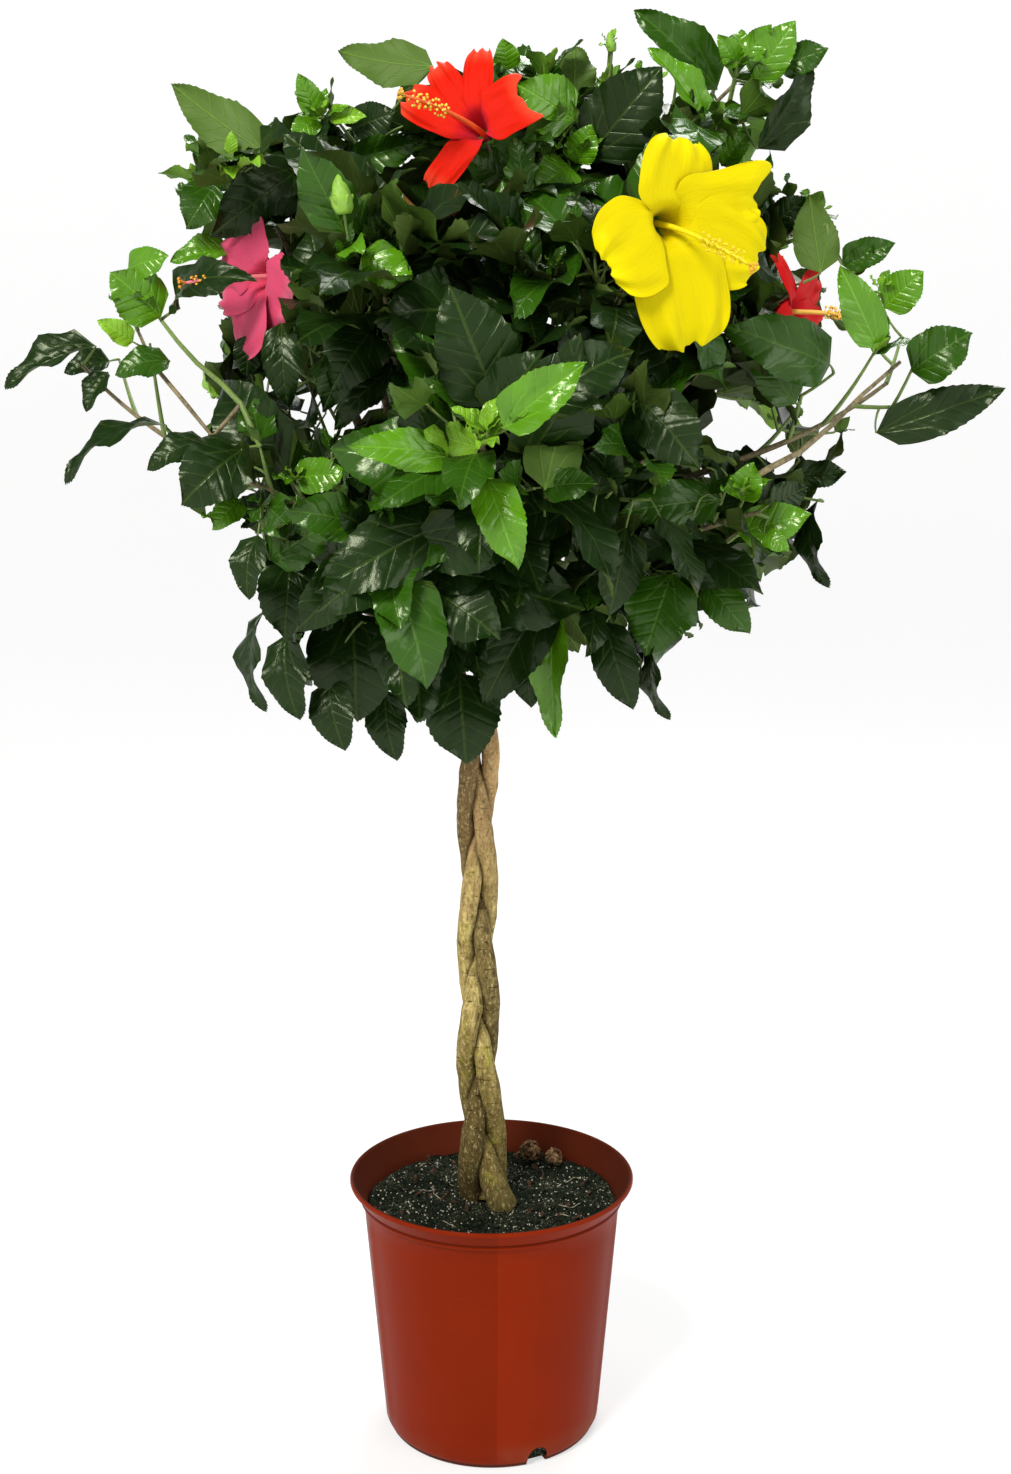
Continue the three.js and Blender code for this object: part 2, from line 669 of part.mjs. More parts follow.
// A spiral of leaves on one shoot, added to those that the mass already has
function growLeaves(mass, shoot, count, firstTurn, random, limbs, leaves) {
  let grown = leaves;
  for (let i = 0; i < count; i += 1) {
    const age = Math.min((i + AGE_START + AGE_SCATTER * random()) / count, 1);
    const turn = firstTurn + i * GOLDEN_ANGLE + TURN_SCATTER * (random() - 0.5);
    const leaf = fittingLeaf(mass, shoot, age, turn, limbs, grown);
    if (leaf) {
      grown = grown.add(leaf);
    }
  }
  return grown;
}

function shootSolid(shoot) {
  return limbSolid({ ...shoot, sides: SHOOT_SIDES });
}

function shootPoints(shoot) {
  return SHOOT_SHARES_TESTED.map((share) => shoot.pointAt(share));
}

// Flowers: a tube that widens from the shoot, five petals sunk in its rim, and the column

function petalSolid(centre, facing, out, radius) {
  const side = new Vector3().crossVectors(out, facing).normalize();
  return bladeSolid(PETAL_STATIONS, PETAL_THICKNESS, (station, across, through) => {
    const point = centre.clone().addScaledVector(out, station.out * radius);
    point.addScaledVector(facing, station.along * radius + through);
    return point.addScaledVector(side, across * radius);
  });
}

function flowerSolid(mass) {
  const { radius, column } = mass.flower;
  const centre = massTip(mass);
  const axis = flowerAxis(mass);
  const foot = centre.clone().addScaledVector(axis, -radius * TUBE_SHARE);
  const tube = limbSolid({
    pointAt: (share) => foot.clone().lerp(centre, share),
    radiusAt: (share) => mix(CALYX_RADIUS, radius * THROAT_SHARE, share),
    sides: TUBE_SIDES,
    steps: 1,
  });
  const lean = new Vector3(...column).normalize();
  const columnTip = centre.clone().addScaledVector(lean, radius * COLUMN_SHARE);
  const bend = centre.clone().addScaledVector(axis, radius * COLUMN_BEND);
  const columnCurve = new THREE.QuadraticBezierCurve3(foot, bend, columnTip);
  const columnSolid = limbSolid({
    pointAt: (share) => columnCurve.getPoint(mix(COLUMN_BEND, 1, share)),
    radiusAt: (share) => mix(COLUMN_RADIUS, COLUMN_TIP_RADIUS, smoothstep(0.5, 1, share)),
    sides: COLUMN_SIDES,
    steps: COLUMN_STEPS,
  });
  let flower = tube.add(columnSolid);
  for (let i = 0; i < PETAL_COUNT; i += 1) {
    const out = squareTo(axis, (i * 2 * Math.PI) / PETAL_COUNT);
    flower = flower.add(petalSolid(centre, axis, out, radius));
  }
  return flower;
}

// One mass: its main shoot, its side shoots and a spiral of leaves on each, all fused
function makeMass(mass, number, limbs) {
  const random = seededRandom(FIRST_SEED + number * SEED_STEP);
  const main = mainShoot(mass);
  const mainLength = main.pointAt(0).distanceTo(main.pointAt(1));
  let twigs = shootSolid(main);
  let obstacles = limbs;
  if (mass.flower) {
    const flower = flowerSolid(mass);
    twigs = twigs.add(flower);
    obstacles = limbs.add(flower);
  }
  let leaves = growLeaves(mass, main, mass.leaves, number, random, obstacles, twigs.subtract(twigs));
  const sideShoots = mass.flower ? [] : SIDE_SHOOTS;
  const sideLeaves = Math.round(mass.leaves * SIDE_LEAF_SHARE);
  sideShoots.forEach(({ from, length }, i) => {
    const turn = number + 1 + i * SIDE_SHOOT_TURN + TURN_SCATTER * random();
    const shoot = sideShoot(main, from, turn, length * mainLength);
    const twig = shootSolid(shoot);
    if (inOwnSpace(mass, shootPoints(shoot)) && clearOf(twig, limbs)) {
      twigs = twigs.add(twig);
      leaves = growLeaves(mass, shoot, sideLeaves, turn, random, obstacles, leaves);
    }
  });
  return mainBody(mainBody(twigs.add(leaves)).simplify(SIMPLIFY));
}

// Assembly

function fuse(solids) {
  return solids.reduce((joined, solid) => joined.add(solid));
}

function buildPlant() {
  const plant = new THREE.Group();
  plant.add(makePot());
  plant.add(makeSoil());
  STEM_NAMES.forEach((name, stem) => {
    plant.add(namedMesh(name, stemSolid(stem, 0), BARK_COLOUR, BARK_ROUGHNESS));
  });

  const stemSpace = fuse(STEM_NAMES.map((name, stem) => stemSolid(stem, CLEARANCE)));
  for (const mass of MASSES) {
    mass.curve = limbCurve(mass);
    const bough = mainBody(boughSolid(mass, 0).subtract(stemSpace));
    plant.add(namedMesh(`bough_${mass.name}`, bough, BOUGH_COLOUR, BARK_ROUGHNESS));
  }

  const limbSpace = fuse([stemSpace, ...MASSES.map((mass) => boughSolid(mass, LIMB_MARGIN))]);
  MASSES.forEach((mass, number) => {
    const colour = FLOWER_COLOURS[mass.name] ?? LEAF_COLOUR;
    plant.add(namedMesh(mass.name, makeMass(mass, number, limbSpace), colour, LEAF_ROUGHNESS));
  });
  return plant;
}

export default buildPlant();
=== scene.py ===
"""Dresses a potted hibiscus standard: braided stems, a leafy crown and four large flowers.

Growth is worked out in millimetres, with +Z up and the plant's front along -Y, by the same rule
that the solids follow: each bough leaves a leader and ends where its mass of foliage begins, and
each mass is one main shoot with side shoots, finer twigs and a spiral of leaves on each.
"""

import json
import math
from collections import namedtuple

import bmesh
import bpy
from bpy.props import FloatProperty, FloatVectorProperty, PointerProperty
from mathutils import Matrix, Quaternion, Vector, noise
from mathutils.kdtree import KDTree

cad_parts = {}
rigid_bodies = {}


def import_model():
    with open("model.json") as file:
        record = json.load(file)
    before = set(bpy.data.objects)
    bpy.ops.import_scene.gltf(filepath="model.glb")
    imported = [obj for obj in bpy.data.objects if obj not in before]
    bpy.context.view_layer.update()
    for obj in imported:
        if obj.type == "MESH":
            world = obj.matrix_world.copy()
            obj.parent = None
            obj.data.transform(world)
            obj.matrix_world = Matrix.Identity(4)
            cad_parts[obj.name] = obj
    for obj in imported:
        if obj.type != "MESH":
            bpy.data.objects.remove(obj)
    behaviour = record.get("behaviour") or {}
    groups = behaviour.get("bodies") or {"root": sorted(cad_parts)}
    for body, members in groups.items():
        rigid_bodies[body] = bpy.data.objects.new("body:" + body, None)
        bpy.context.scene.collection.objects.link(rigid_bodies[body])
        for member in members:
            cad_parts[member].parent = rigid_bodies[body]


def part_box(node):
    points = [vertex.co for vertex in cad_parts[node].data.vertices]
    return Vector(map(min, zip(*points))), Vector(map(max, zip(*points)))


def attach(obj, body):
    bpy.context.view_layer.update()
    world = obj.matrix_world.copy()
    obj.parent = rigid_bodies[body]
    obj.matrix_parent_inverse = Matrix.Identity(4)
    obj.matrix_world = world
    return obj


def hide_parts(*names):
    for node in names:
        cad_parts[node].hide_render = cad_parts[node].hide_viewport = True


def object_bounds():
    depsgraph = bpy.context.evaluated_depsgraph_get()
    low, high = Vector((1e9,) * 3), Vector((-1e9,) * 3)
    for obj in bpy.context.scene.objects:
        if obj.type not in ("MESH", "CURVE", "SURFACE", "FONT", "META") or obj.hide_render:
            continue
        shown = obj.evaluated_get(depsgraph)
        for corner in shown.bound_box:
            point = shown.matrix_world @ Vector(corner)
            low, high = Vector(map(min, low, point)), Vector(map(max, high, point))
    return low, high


bl_info = {
    "name": "Hibiscus standard in a nursery pot",
    "version": (1, 0, 0),
    "blender": (4, 5, 0),
    "location": "3D View > Sidebar > Hibiscus",
    "description": "Dresses the braided hibiscus with bark, leaves, flowers, soil and its pot",
    "category": "Object",
}

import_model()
CAD_LOW, CAD_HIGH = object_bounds()

MM = 0.001
UP = Vector((0, 0, 1))
GOLDEN_ANGLE = math.radians(137.5)

# The photograph's camera, in millimetres and in the pixels of its frame
FRAME_WIDTH = 1011
FRAME_HEIGHT = 1474
CAMERA_PLACE = Vector((12.5, -1623.0, 940.0))
CAMERA_PITCH = math.radians(10.69)
FOCAL_PIXELS = 1917.1
SENSOR = 36.0

# Pot, in millimetres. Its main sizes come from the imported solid.
POT_LOW, POT_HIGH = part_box("pot")
POT_HEIGHT = (POT_HIGH.z - POT_LOW.z) / MM
RIM_RADIUS = (POT_HIGH.x - POT_LOW.x) / 2 / MM
LIP_HEIGHT = 20
LIP_BOTTOM_RADIUS = RIM_RADIUS - 9
BODY_TOP_RADIUS = RIM_RADIUS - 12
BODY_BOTTOM_RADIUS = RIM_RADIUS - 30
FOOT_RADIUS = RIM_RADIUS - 33
FOOT_CHAMFER = 8
POT_WALL = 2.6
POT_FLOOR = 4
NOTCH_COUNT = 3
NOTCH_WIDTH = 19
NOTCH_HEIGHT = 18
NOTCH_BOTTOM = -1
NOTCH_DEPTH = 24
FIRST_NOTCH_ANGLE = math.radians(-65)
PANEL_COUNT = 5
FIRST_PANEL_ANGLE = math.radians(-87)
POT_SEGMENTS = 240
CREASE_ANGLE = math.radians(50)

# Soil
SOIL_TOP = 209
SOIL_FLAT_RADIUS = 48
SOIL_RINGS = 56
SOIL_SEGMENTS = 150
SOIL_CLEARANCE = 0.6

# Braided stems, as in the solids
CLEARANCE = 0.3
STEM_BASE = SOIL_TOP + CLEARANCE
BRAID_TOP = 655
BRAID_PERIOD = 330
BRAID_TURN = math.radians(8)
BRAID_WIDTH_RATIO = 1.07
BRAID_DEPTH_RATIO = 0.74
STEM_FOOT_RADIUS = 6.6
STEM_TOP_RADIUS = 5.6
LEADER_TIP_RADIUS = 4.2
ROOT_FLARE = 2.6
FLARE_HEIGHT = 45
LEAN = -12
FOOT_OFFSET = 10
FOOT_OFFSET_HEIGHT = 55
PARTING_START = BRAID_TOP - 30
PARTING_END = BRAID_TOP + 55
LEADER_TIPS = [Vector((42, -18, 868)), Vector((-66, 4, 872)), Vector((-8, 44, 905))]
STEM_NAMES = ["stem_right", "stem_left", "stem_back"]
BARK_FULLNESS = 1.38
BRAID_TIGHTNESS = 0.78
FIRST_FORK = 690
LAST_FORK_BELOW_TIP = 14

# Boughs and shoots, as in the solids
FORK_OUT = 0.26
FORK_UP = 0.2
TIP_BACK = 0.28
TIP_DOWN = 0.2
HANGING_TIP_DOWN = -0.14
MOST_HANG = 0.6
FLOWER_BACK = 0.2
FLOWER_DOWN = 0.1
TUBE_SHARE = 0.5
SHOOT_END_IN_TUBE = 0.8
BOUGH_SHARE = 0.46
BOUGH_RADIUS = 4
BOUGH_TIP_RADIUS = 3
SHOOT_RADIUS = 2.9
SHOOT_TIP_RADIUS = 1.5
FIRST_SEED = 1000
SEED_STEP = 77

Mass = namedtuple("Mass", "name stem azimuth reach height leaves hang")
MASSES = [Mass(*row) for row in [
    ("front_low", 0, -84, 112, 762, 13, 0.5), ("low_right", 0, -26, 146, 788, 12, 0.45),
    ("right_low", 0, -22, 244, 836, 13, 0.22), ("front_right", 0, -58, 222, 880, 13, 0.15),
    ("front_mid", 0, -92, 250, 905, 14, 0.1), ("right_reach", 0, -3, 348, 952, 14, -0.12),
    ("scarlet_flower_shoot", 0, 4, 256, 993, 6, 0.1), ("front_high", 0, -80, 134, 1006, 13, 0.05),
    ("yellow_flower_shoot", 0, -56.6, 238, 1048, 6, 0.1), ("left_low", 1, 202, 154, 752, 13, 0.5),
    ("front_left", 1, 247, 214, 826, 13, 0.25), ("left_mid", 1, 216, 222, 858, 14, 0.15),
    ("back_left", 1, 136, 300, 925, 14, 0.1), ("left_reach", 1, 178, 342, 948, 14, -0.2),
    ("pink_flower_shoot", 1, 195, 190, 1018, 6, 0.1), ("front_top", 1, 240, 176, 1036, 13, 0),
    ("left_top", 1, 180, 224, 1128, 13, -0.15), ("top_left", 1, 162, 116, 1156, 12, 0),
    ("back_low", 2, 84, 190, 785, 13, 0.4), ("back_mid", 2, 92, 285, 905, 14, 0.15),
    ("back_right", 2, 44, 305, 935, 14, 0.1), ("right_top", 2, 14, 274, 1068, 13, -0.05),
    ("back_top", 2, 88, 165, 1095, 12, 0), ("red_flower_shoot", 2, 263, 82, 1130, 6, 0),
    ("top_right", 2, 9, 204, 1176, 12, -0.1), ("top_mid", 2, 28, 74, 1150, 12, 0),
]]

# Flowers. A petal is given by the pixel of its tip, its width in millimetres, its tilt towards the
# front in degrees, how square its end is, and the corners that stand out from its end: for each
# its place across the petal, from -1 to 1, and its reach as a share of the length.
Petal = namedtuple("Petal", "tip width tilt square horns", defaults=(0, 2.4, ()))
Bloom = namedtuple("Bloom", "radius facing column petals ruffle")
BLOOMS = {
    "yellow_flower_shoot": Bloom(
        78, (0.3, -0.94, -0.05), (0.6, -0.42, -0.36),
        [
            Petal((680, 135), 57, -4, 2.6),
            Petal((760, 204), 58, 5, 3.2, ((0.82, 0.24),)),
            Petal((762, 262), 62, 3, 2.4),
            Petal((690, 352), 70, 0, 2.5),
            Petal((604, 268), 72, 4, 2.4),
        ],
        0.75,
    ),
    "red_flower_shoot": Bloom(
        60, (-0.28, -0.92, 0.24), (-0.78, -0.55, 0.24),
        [
            Petal((481, 47), 25, -6, 2.6),
            Petal((524, 98), 42, -4, 3.4, ((-0.8, 0.3), (0.8, 0.24))),
            Petal((432, 192), 27, 4, 4.0),
            Petal((402, 98), 33, 8, 2.6),
            Petal((434, 64), 24, 2, 2.8),
        ],
        0.75,
    ),
    "pink_flower_shoot": Bloom(
        54, (-0.82, -0.56, 0), (-0.95, -0.25, -0.1),
        [
            Petal((253, 226), 44, -6, 2.8),
            Petal((205, 240), 50, 4, 2.8),
            Petal((214, 300), 44, 4, 2.4),
            Petal((239, 364), 78, 0, 1.7),
            Petal((295, 308), 74, -8, 2.2),
        ],
        0.8,
    ),
    "scarlet_flower_shoot": Bloom(
        50, (0.86, -0.48, 0.05), (0.95, -0.3, -0.1),
        [
            Petal((773, 252), 26, -12, 3.4),
            Petal((821, 271), 34, 2, 3.0),
            Petal((843, 346), 30, 0, 2.6),
            Petal((806, 374), 30, -6, 2.6),
            Petal((768, 330), 30, -12, 2.6),
        ],
        0.9,
    ),
}

# Leaf tones, from the oldest and most shaded to the young ones at the tips. Besides age, the tones paint
# light and shade: leaves at the outside and the top of the crown are brighter, those inside deeper.
DEEP, GREEN, BRIGHT, YOUNG = range(4)
TONE_NAMES = ["deep", "green", "bright", "young"]

# Forms of leaf blade: fold of the two halves and bend along the rib in degrees, twist in degrees,
# waviness as a share of the width, and how far the side lobes stand out
Form = namedtuple("Form", "fold bend twist wave lobe")
FORMS = [Form(*row) for row in [
    (10, 24, 0, 0.04, 0.0), (14, 60, 8, 0.05, 0.0), (34, 28, -8, 0.05, 0.0), (16, 38, 34, 0.07, 0.0),
    (10, -18, -14, 0.11, 0.0), (8, 16, 6, 0.06, 0.07), (14, 84, 0, 0.05, 0.0),
]]
ARCHED, DROOPING, FOLDED, TWISTED, WAVY, LOBED, BENT_OVER = range(7)
COMMON_FORMS = (ARCHED, DROOPING, DROOPING, FOLDED, ARCHED, WAVY, TWISTED, LOBED)

# Leaves
LEAF_LENGTH = 104
LEAF_WIDTH_SHARE = 0.6
PETIOLE = 30
YOUNG_PETIOLE = 8
YOUNG_LEAF_SHARE = 0.5
OLD_LEAF_ANGLE = math.radians(74)
YOUNG_LEAF_ANGLE = math.radians(32)
LEAF_DROOP = 0.34
LEAF_FACE_LIFT = 0.5
OLDEST_LEAF_PLACE = 0.1
FULL_GROWN_AGE = 0.55
AGE_START = 0.15
AGE_SCATTER = 0.3
TURN_SCATTER = 0.5
SPACE_OVERLAP = 14
LEAST_APART = 22
LIMB_MARGIN = 2.5

# Thin sheets such as petals, in millimetres, and how near two points are one, in metres
SHEET_THICKNESS = 0.5
MERGE_REACH = 0.00001


def mix(low, high, share):
    return low + (high - low) * share


def smoothstep(low, high, value):
    share = min(max((value - low) / (high - low), 0), 1)
    return share * share * (3 - 2 * share)


def shares(count):
    """The shares at the ends of equal steps from 0 to 1."""
    return [step / count for step in range(count + 1)]


def round_turns(count, first=0.0):
    """The turns of points that stand evenly round a circle."""
    return [first + 2 * math.pi * step / count for step in range(count)]


def round_point(radius, turn, height=0.0):
    return Vector((radius * math.cos(turn), radius * math.sin(turn), height))


def turned(first, second, angle):
    """A way turned from the first towards the second, which is square to it."""
    return first * math.cos(angle) + second * math.sin(angle)


def squared(way, axis):
    """The unit way nearest to a way that is square to an axis."""
    return (way - axis * way.dot(axis)).normalized()


class SeededRandom:
    """The same row of numbers from 0 to 1 for the same seed, as the solids use."""

    def __init__(self, seed):
        self.state = seed & 0xFFFFFFFF

    def __call__(self):
        self.state = (self.state * 1664525 + 1013904223) & 0xFFFFFFFF
        return self.state / 4294967296

    def between(self, low, high):
        return mix(low, high, self())


# The photograph's view


def to_pixel(point):
    """Where a point in millimetres falls in the photograph's frame, and how far in front it is."""
    place = point - CAMERA_PLACE
    forward = place.y * math.cos(CAMERA_PITCH) - place.z * math.sin(CAMERA_PITCH)
    rise = place.y * math.sin(CAMERA_PITCH) + place.z * math.cos(CAMERA_PITCH)
    across = FRAME_WIDTH / 2 + FOCAL_PIXELS * place.x / forward
    down = FRAME_HEIGHT / 2 - FOCAL_PIXELS * rise / forward
    return across, down, forward


def from_pixel(across, down, depth):
    """The point in millimetres that lies behind a pixel of the frame, at a depth along +Y."""
    right = (across - FRAME_WIDTH / 2) / FOCAL_PIXELS
    rise = (FRAME_HEIGHT / 2 - down) / FOCAL_PIXELS
    ray = Vector((
        right,
        math.cos(CAMERA_PITCH) + rise * math.sin(CAMERA_PITCH),
        rise * math.cos(CAMERA_PITCH) - math.sin(CAMERA_PITCH),
    ))
    return CAMERA_PLACE + ray * ((depth - CAMERA_PLACE.y) / ray.y)


# Lines that the limbs follow


def square_to(axis, turn):
    """A direction square to an axis, turned about it."""
    sizes = [abs(axis.x), abs(axis.y), abs(axis.z)]
    across = Vector()
    across[sizes.index(min(sizes))] = 1
    return Quaternion(axis, turn) @ squared(across, axis)


def bezier(points, share):
    rest = 1 - share
    if len(points) == 3:
        weights = (rest * rest, 2 * rest * share, share * share)
    else:
        weights = (rest ** 3, 3 * rest * rest * share, 3 * rest * share * share, share ** 3)
    return sum((point * weight for point, weight in zip(points, weights)), Vector())


class Shoot:
    """A limb or twig: the line of its middle, by share from foot to tip, and its thickness."""

    def __init__(self, line, foot_radius, tip_radius, parent=None, start=0.0):
        self.at = line
        self.foot_radius = foot_radius
        self.tip_radius = tip_radius
        self.parent = parent
        self.start = start
        self.used = 0.0

    def use(self, share):
        """Something grows at that place, so the shoot and its parents reach at least so far."""
        self.used = max(self.used, share)
        if self.parent:
            self.parent.use(self.start)

    def radius(self, share):
        return mix(self.foot_radius, self.tip_radius, share)

    def axis(self, share):
        step = 0.01
        return (self.at(min(share + step, 1)) - self.at(max(share - step, 0))).normalized()

    def length(self):
        return (self.at(1) - self.at(0)).length


def stem_radius(height):
    braid = smoothstep(STEM_BASE, BRAID_TOP, height)
    flare = ROOT_FLARE * math.exp(-(height - STEM_BASE) / FLARE_HEIGHT)
    stem = mix(STEM_FOOT_RADIUS, STEM_TOP_RADIUS, braid) + flare
    return mix(stem, LEADER_TIP_RADIUS, smoothstep(BRAID_TOP, LEADER_TIPS[0].z, height))


def braid_point(stem, height):
    rise = height - STEM_BASE
    angle = BRAID_TURN + 2 * math.pi * (rise / BRAID_PERIOD + stem / len(STEM_NAMES))
    thickness = 2 * stem_radius(height)
    lean = LEAN + FOOT_OFFSET * math.exp(-rise / FOOT_OFFSET_HEIGHT)
    return Vector((
        lean + thickness * BRAID_WIDTH_RATIO * math.sin(angle),
        thickness * BRAID_DEPTH_RATIO * math.sin(2 * angle),
        height,
    ))


def stem_point(stem, height):
    """Centre of a stem at a height: in the braid, and above it on the way to its leader's tip."""
    braided = braid_point(stem, min(height, PARTING_END))
    hub = braid_point(stem, BRAID_TOP)
    tip = LEADER_TIPS[stem]
    leader = hub.lerp(tip, (height - BRAID_TOP) / (tip.z - BRAID_TOP))
    place = braided.lerp(leader, smoothstep(PARTING_START, PARTING_END, height))
    place.z = height
    return place


def mass_tip(mass):
    return round_point(mass.reach, math.radians(mass.azimuth), mass.height)


class Flower:
    """A bloom in its place: its throat and the ways in which it faces and its petals stand."""

    def __init__(self, mass):
        self.mass = mass
        self.label = mass.name.split("_")[0]
        self.radius, facing, self.column, self.petals, self.ruffle = BLOOMS[mass.name]
        self.facing = Vector(facing).normalized()
        self.right = UP.cross(self.facing).normalized()
        self.up = self.facing.cross(self.right)
        self.throat = mass_tip(mass)

    def out(self, turn):
        return turned(self.right, self.up, turn)


def fork_height(mass):
    sharers = [other for other in MASSES if other.stem == mass.stem]
    place = sharers.index(mass) / (len(sharers) - 1)
    return mix(FIRST_FORK, LEADER_TIPS[mass.stem].z - LAST_FORK_BELOW_TIP, place)


def limb_points(mass):
    """The four points of the smooth line from a leader to the tip of a mass's main shoot."""
    fork = stem_point(mass.stem, fork_height(mass))
    tip = mass_tip(mass)
    flower = Flower(mass) if mass.name in BLOOMS else None
    if flower:
        tip = tip - flower.facing * flower.radius * TUBE_SHARE * SHOOT_END_IN_TUBE
    reach = tip - fork
    length = reach.length
    outward = Vector((reach.x, reach.y, 0)).normalized()
    first = fork + outward * length * FORK_OUT + UP * length * FORK_UP
    if flower:
        second = tip - flower.facing * length * FLOWER_BACK - UP * length * FLOWER_DOWN
    else:
        down = mix(TIP_DOWN, HANGING_TIP_DOWN, mass.hang / MOST_HANG)
        second = tip - outward * length * TIP_BACK - UP * length * down
    return fork, first, second, tip


def bough_of(mass):
    points = limb_points(mass)
    return Shoot(lambda share: bezier(points, share * BOUGH_SHARE), BOUGH_RADIUS, BOUGH_TIP_RADIUS)


def main_shoot(mass):
    points = limb_points(mass)
    line = lambda share: bezier(points, mix(BOUGH_SHARE, 1, share))
    return Shoot(line, SHOOT_RADIUS, SHOOT_TIP_RADIUS)


FLOWERS = [Flower(mass) for mass in MASSES if mass.name in BLOOMS]

# Meshes and pieces


def new_object(name, data):
    """An object at the origin of the scene."""
    made = bpy.data.objects.new(name, data)
    bpy.context.scene.collection.objects.link(made)
    return made


def evaluated_mesh(shape):
    """The plain mesh that an object shows with its modifiers."""
    bpy.context.view_layer.update()
    graph = bpy.context.evaluated_depsgraph_get()
    return bpy.data.meshes.new_from_object(shape.evaluated_get(graph))


def mesh_of(name, points, faces):
    """A mesh in metres from points in millimetres."""
    mesh = bpy.data.meshes.new(name)
    mesh.from_pydata([tuple(point * MM) for point in points], [], faces)
    mesh.validate()
    return mesh


def new_piece(name, mesh, material):
    """An object that shows a mesh smoothly in one material."""
    mesh.name = name
    mesh.materials.clear()
    mesh.materials.append(material)
    mesh.polygons.foreach_set("use_smooth", [True] * len(mesh.polygons))
    return new_object(name, mesh)


def finish_piece(piece, slot, *nodes):
    """Rides a piece on the plant and hides the solids that it stands for; slot is not used."""
    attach(piece, "root")
    if nodes:
        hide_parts(*nodes)


def add_wall(piece):
    """Gives a sheet the thickness of a petal."""
    wall = piece.modifiers.new("thickness", "SOLIDIFY")
    wall.thickness = SHEET_THICKNESS * MM
    wall.offset = 0


def clean(mesh, outward=True):
    """Merges the points that meet and turns the faces outward."""
    work = bmesh.new()
    work.from_mesh(mesh)
    bmesh.ops.remove_doubles(work, verts=work.verts, dist=MERGE_REACH)
    bmesh.ops.dissolve_degenerate(work, edges=work.edges, dist=MERGE_REACH)
    if outward:
        bmesh.ops.recalc_face_normals(work, faces=work.faces)
    work.to_mesh(mesh)
    work.free()


def band(low, high, count):
    """Faces between two rings of points, given by the numbers of their first points."""
    places = range(count)
    return [(low + at, high + at, high + (at + 1) % count, low + (at + 1) % count) for at in places]


def grid(rows, columns):
    """Faces of a sheet of points laid out in rows."""
    starts = [row * columns + column for row in range(rows - 1) for column in range(columns - 1)]
    return [(start, start + 1, start + columns + 1, start + columns) for start in starts]


def tube(centres, radius_at, sides):
    """A closed round bar along a line of centres. radius_at takes the ring's number and a turn."""
    points = []
    faces = []
    across = None
    last = len(centres) - 1
    for ring, centre in enumerate(centres):
        axis = (centres[min(ring + 1, last)] - centres[max(ring - 1, 0)]).normalized()
        across = squared(across or square_to(axis, 0), axis)
        beside = axis.cross(across)
        for turn in round_turns(sides):
            points.append(centre + turned(across, beside, turn) * radius_at(ring, turn))
        if ring:
            faces += band((ring - 1) * sides, ring * sides, sides)
    foot = len(points)
    points.extend([centres[0], centres[-1]])
    for side in range(sides):
        following = (side + 1) % sides
        faces.append((foot, side, following))
        faces.append((foot + 1, last * sides + following, last * sides + side))
    return points, faces


class Builder:
    """Gathers the points and faces of many parts into one mesh."""

    def __init__(self):
        self.points = []
        self.faces = []

    def add(self, points, faces):
        start = len(self.points)
        self.points.extend(points)
        self.faces.extend([tuple(start + corner for corner in face) for face in faces])

    def bar(self, centres, radius_at, sides):
        """Adds a tube. radius_at may also be a number, or a list with a number for each ring."""
        if isinstance(radius_at, list):
            self.add(*tube(centres, lambda ring, turn: radius_at[ring], sides))
        elif callable(radius_at):
            self.add(*tube(centres, radius_at, sides))
        else:
            self.add(*tube(centres, lambda ring, turn: radius_at, sides))

    def mesh(self, name):
        made = mesh_of(name, self.points, self.faces)
        clean(made)
        return made

    def piece(self, name, material, slot, *nodes):
        """Closes the parts into one finished piece."""
        finish_piece(new_piece(name, self.mesh(name), material), slot, *nodes)


# Node trees, of materials and of Geometry Nodes


class Value:
    """A socket that gives a number, a colour or a mesh. Sums and products add Math nodes."""

    def __init__(self, nodes, socket):
        self.nodes = nodes
        self.socket = socket

    def __add__(self, other):
        return self.nodes.math("ADD", self, other)

    def __sub__(self, other):
        return self.nodes.math("SUBTRACT", self, other)

    def __rsub__(self, other):
        return self.nodes.math("SUBTRACT", other, self)

    def __mul__(self, other):
        return self.nodes.math("MULTIPLY", self, other)

    def __pow__(self, other):
        return self.nodes.math("POWER", self, other)

    def __abs__(self):
        return self.nodes.math("ABSOLUTE", self)

    __radd__ = __add__
    __rmul__ = __mul__


class Nodes:
    """A node tree, and the one method that adds any node to it."""

    def __init__(self, tree):
        self.tree = tree

    def node(self, kind, settings=None, inputs=None, output=0):
        """Adds a node: its settings first, a ramp's stops among them, then values or links."""
        node = self.tree.nodes.new(kind)
        for name, value in (settings or {}).items():
            if name == "stops":
                ramp = node.color_ramp.elements
                while len(ramp) < len(value):
                    ramp.new(0.5)
                for element, (place, colour) in zip(ramp, value):
                    element.position = place
                    element.color = (*colour, 1)
            else:
                setattr(node, name, value)
        for name, value in (inputs or {}).items():
            self.feed(node.inputs[name], value)
        return Value(self, node.outputs[output])

    def feed(self, socket, value):
        if isinstance(value, Value):
            self.tree.links.new(value.socket, socket)
        elif socket.type == "RGBA" and len(value) == 3:
            socket.default_value = (*value, 1)
        else:
            socket.default_value = value

    def math(self, operation, first, second=0.0):
        return self.node("ShaderNodeMath", {"operation": operation}, {0: first, 1: second})


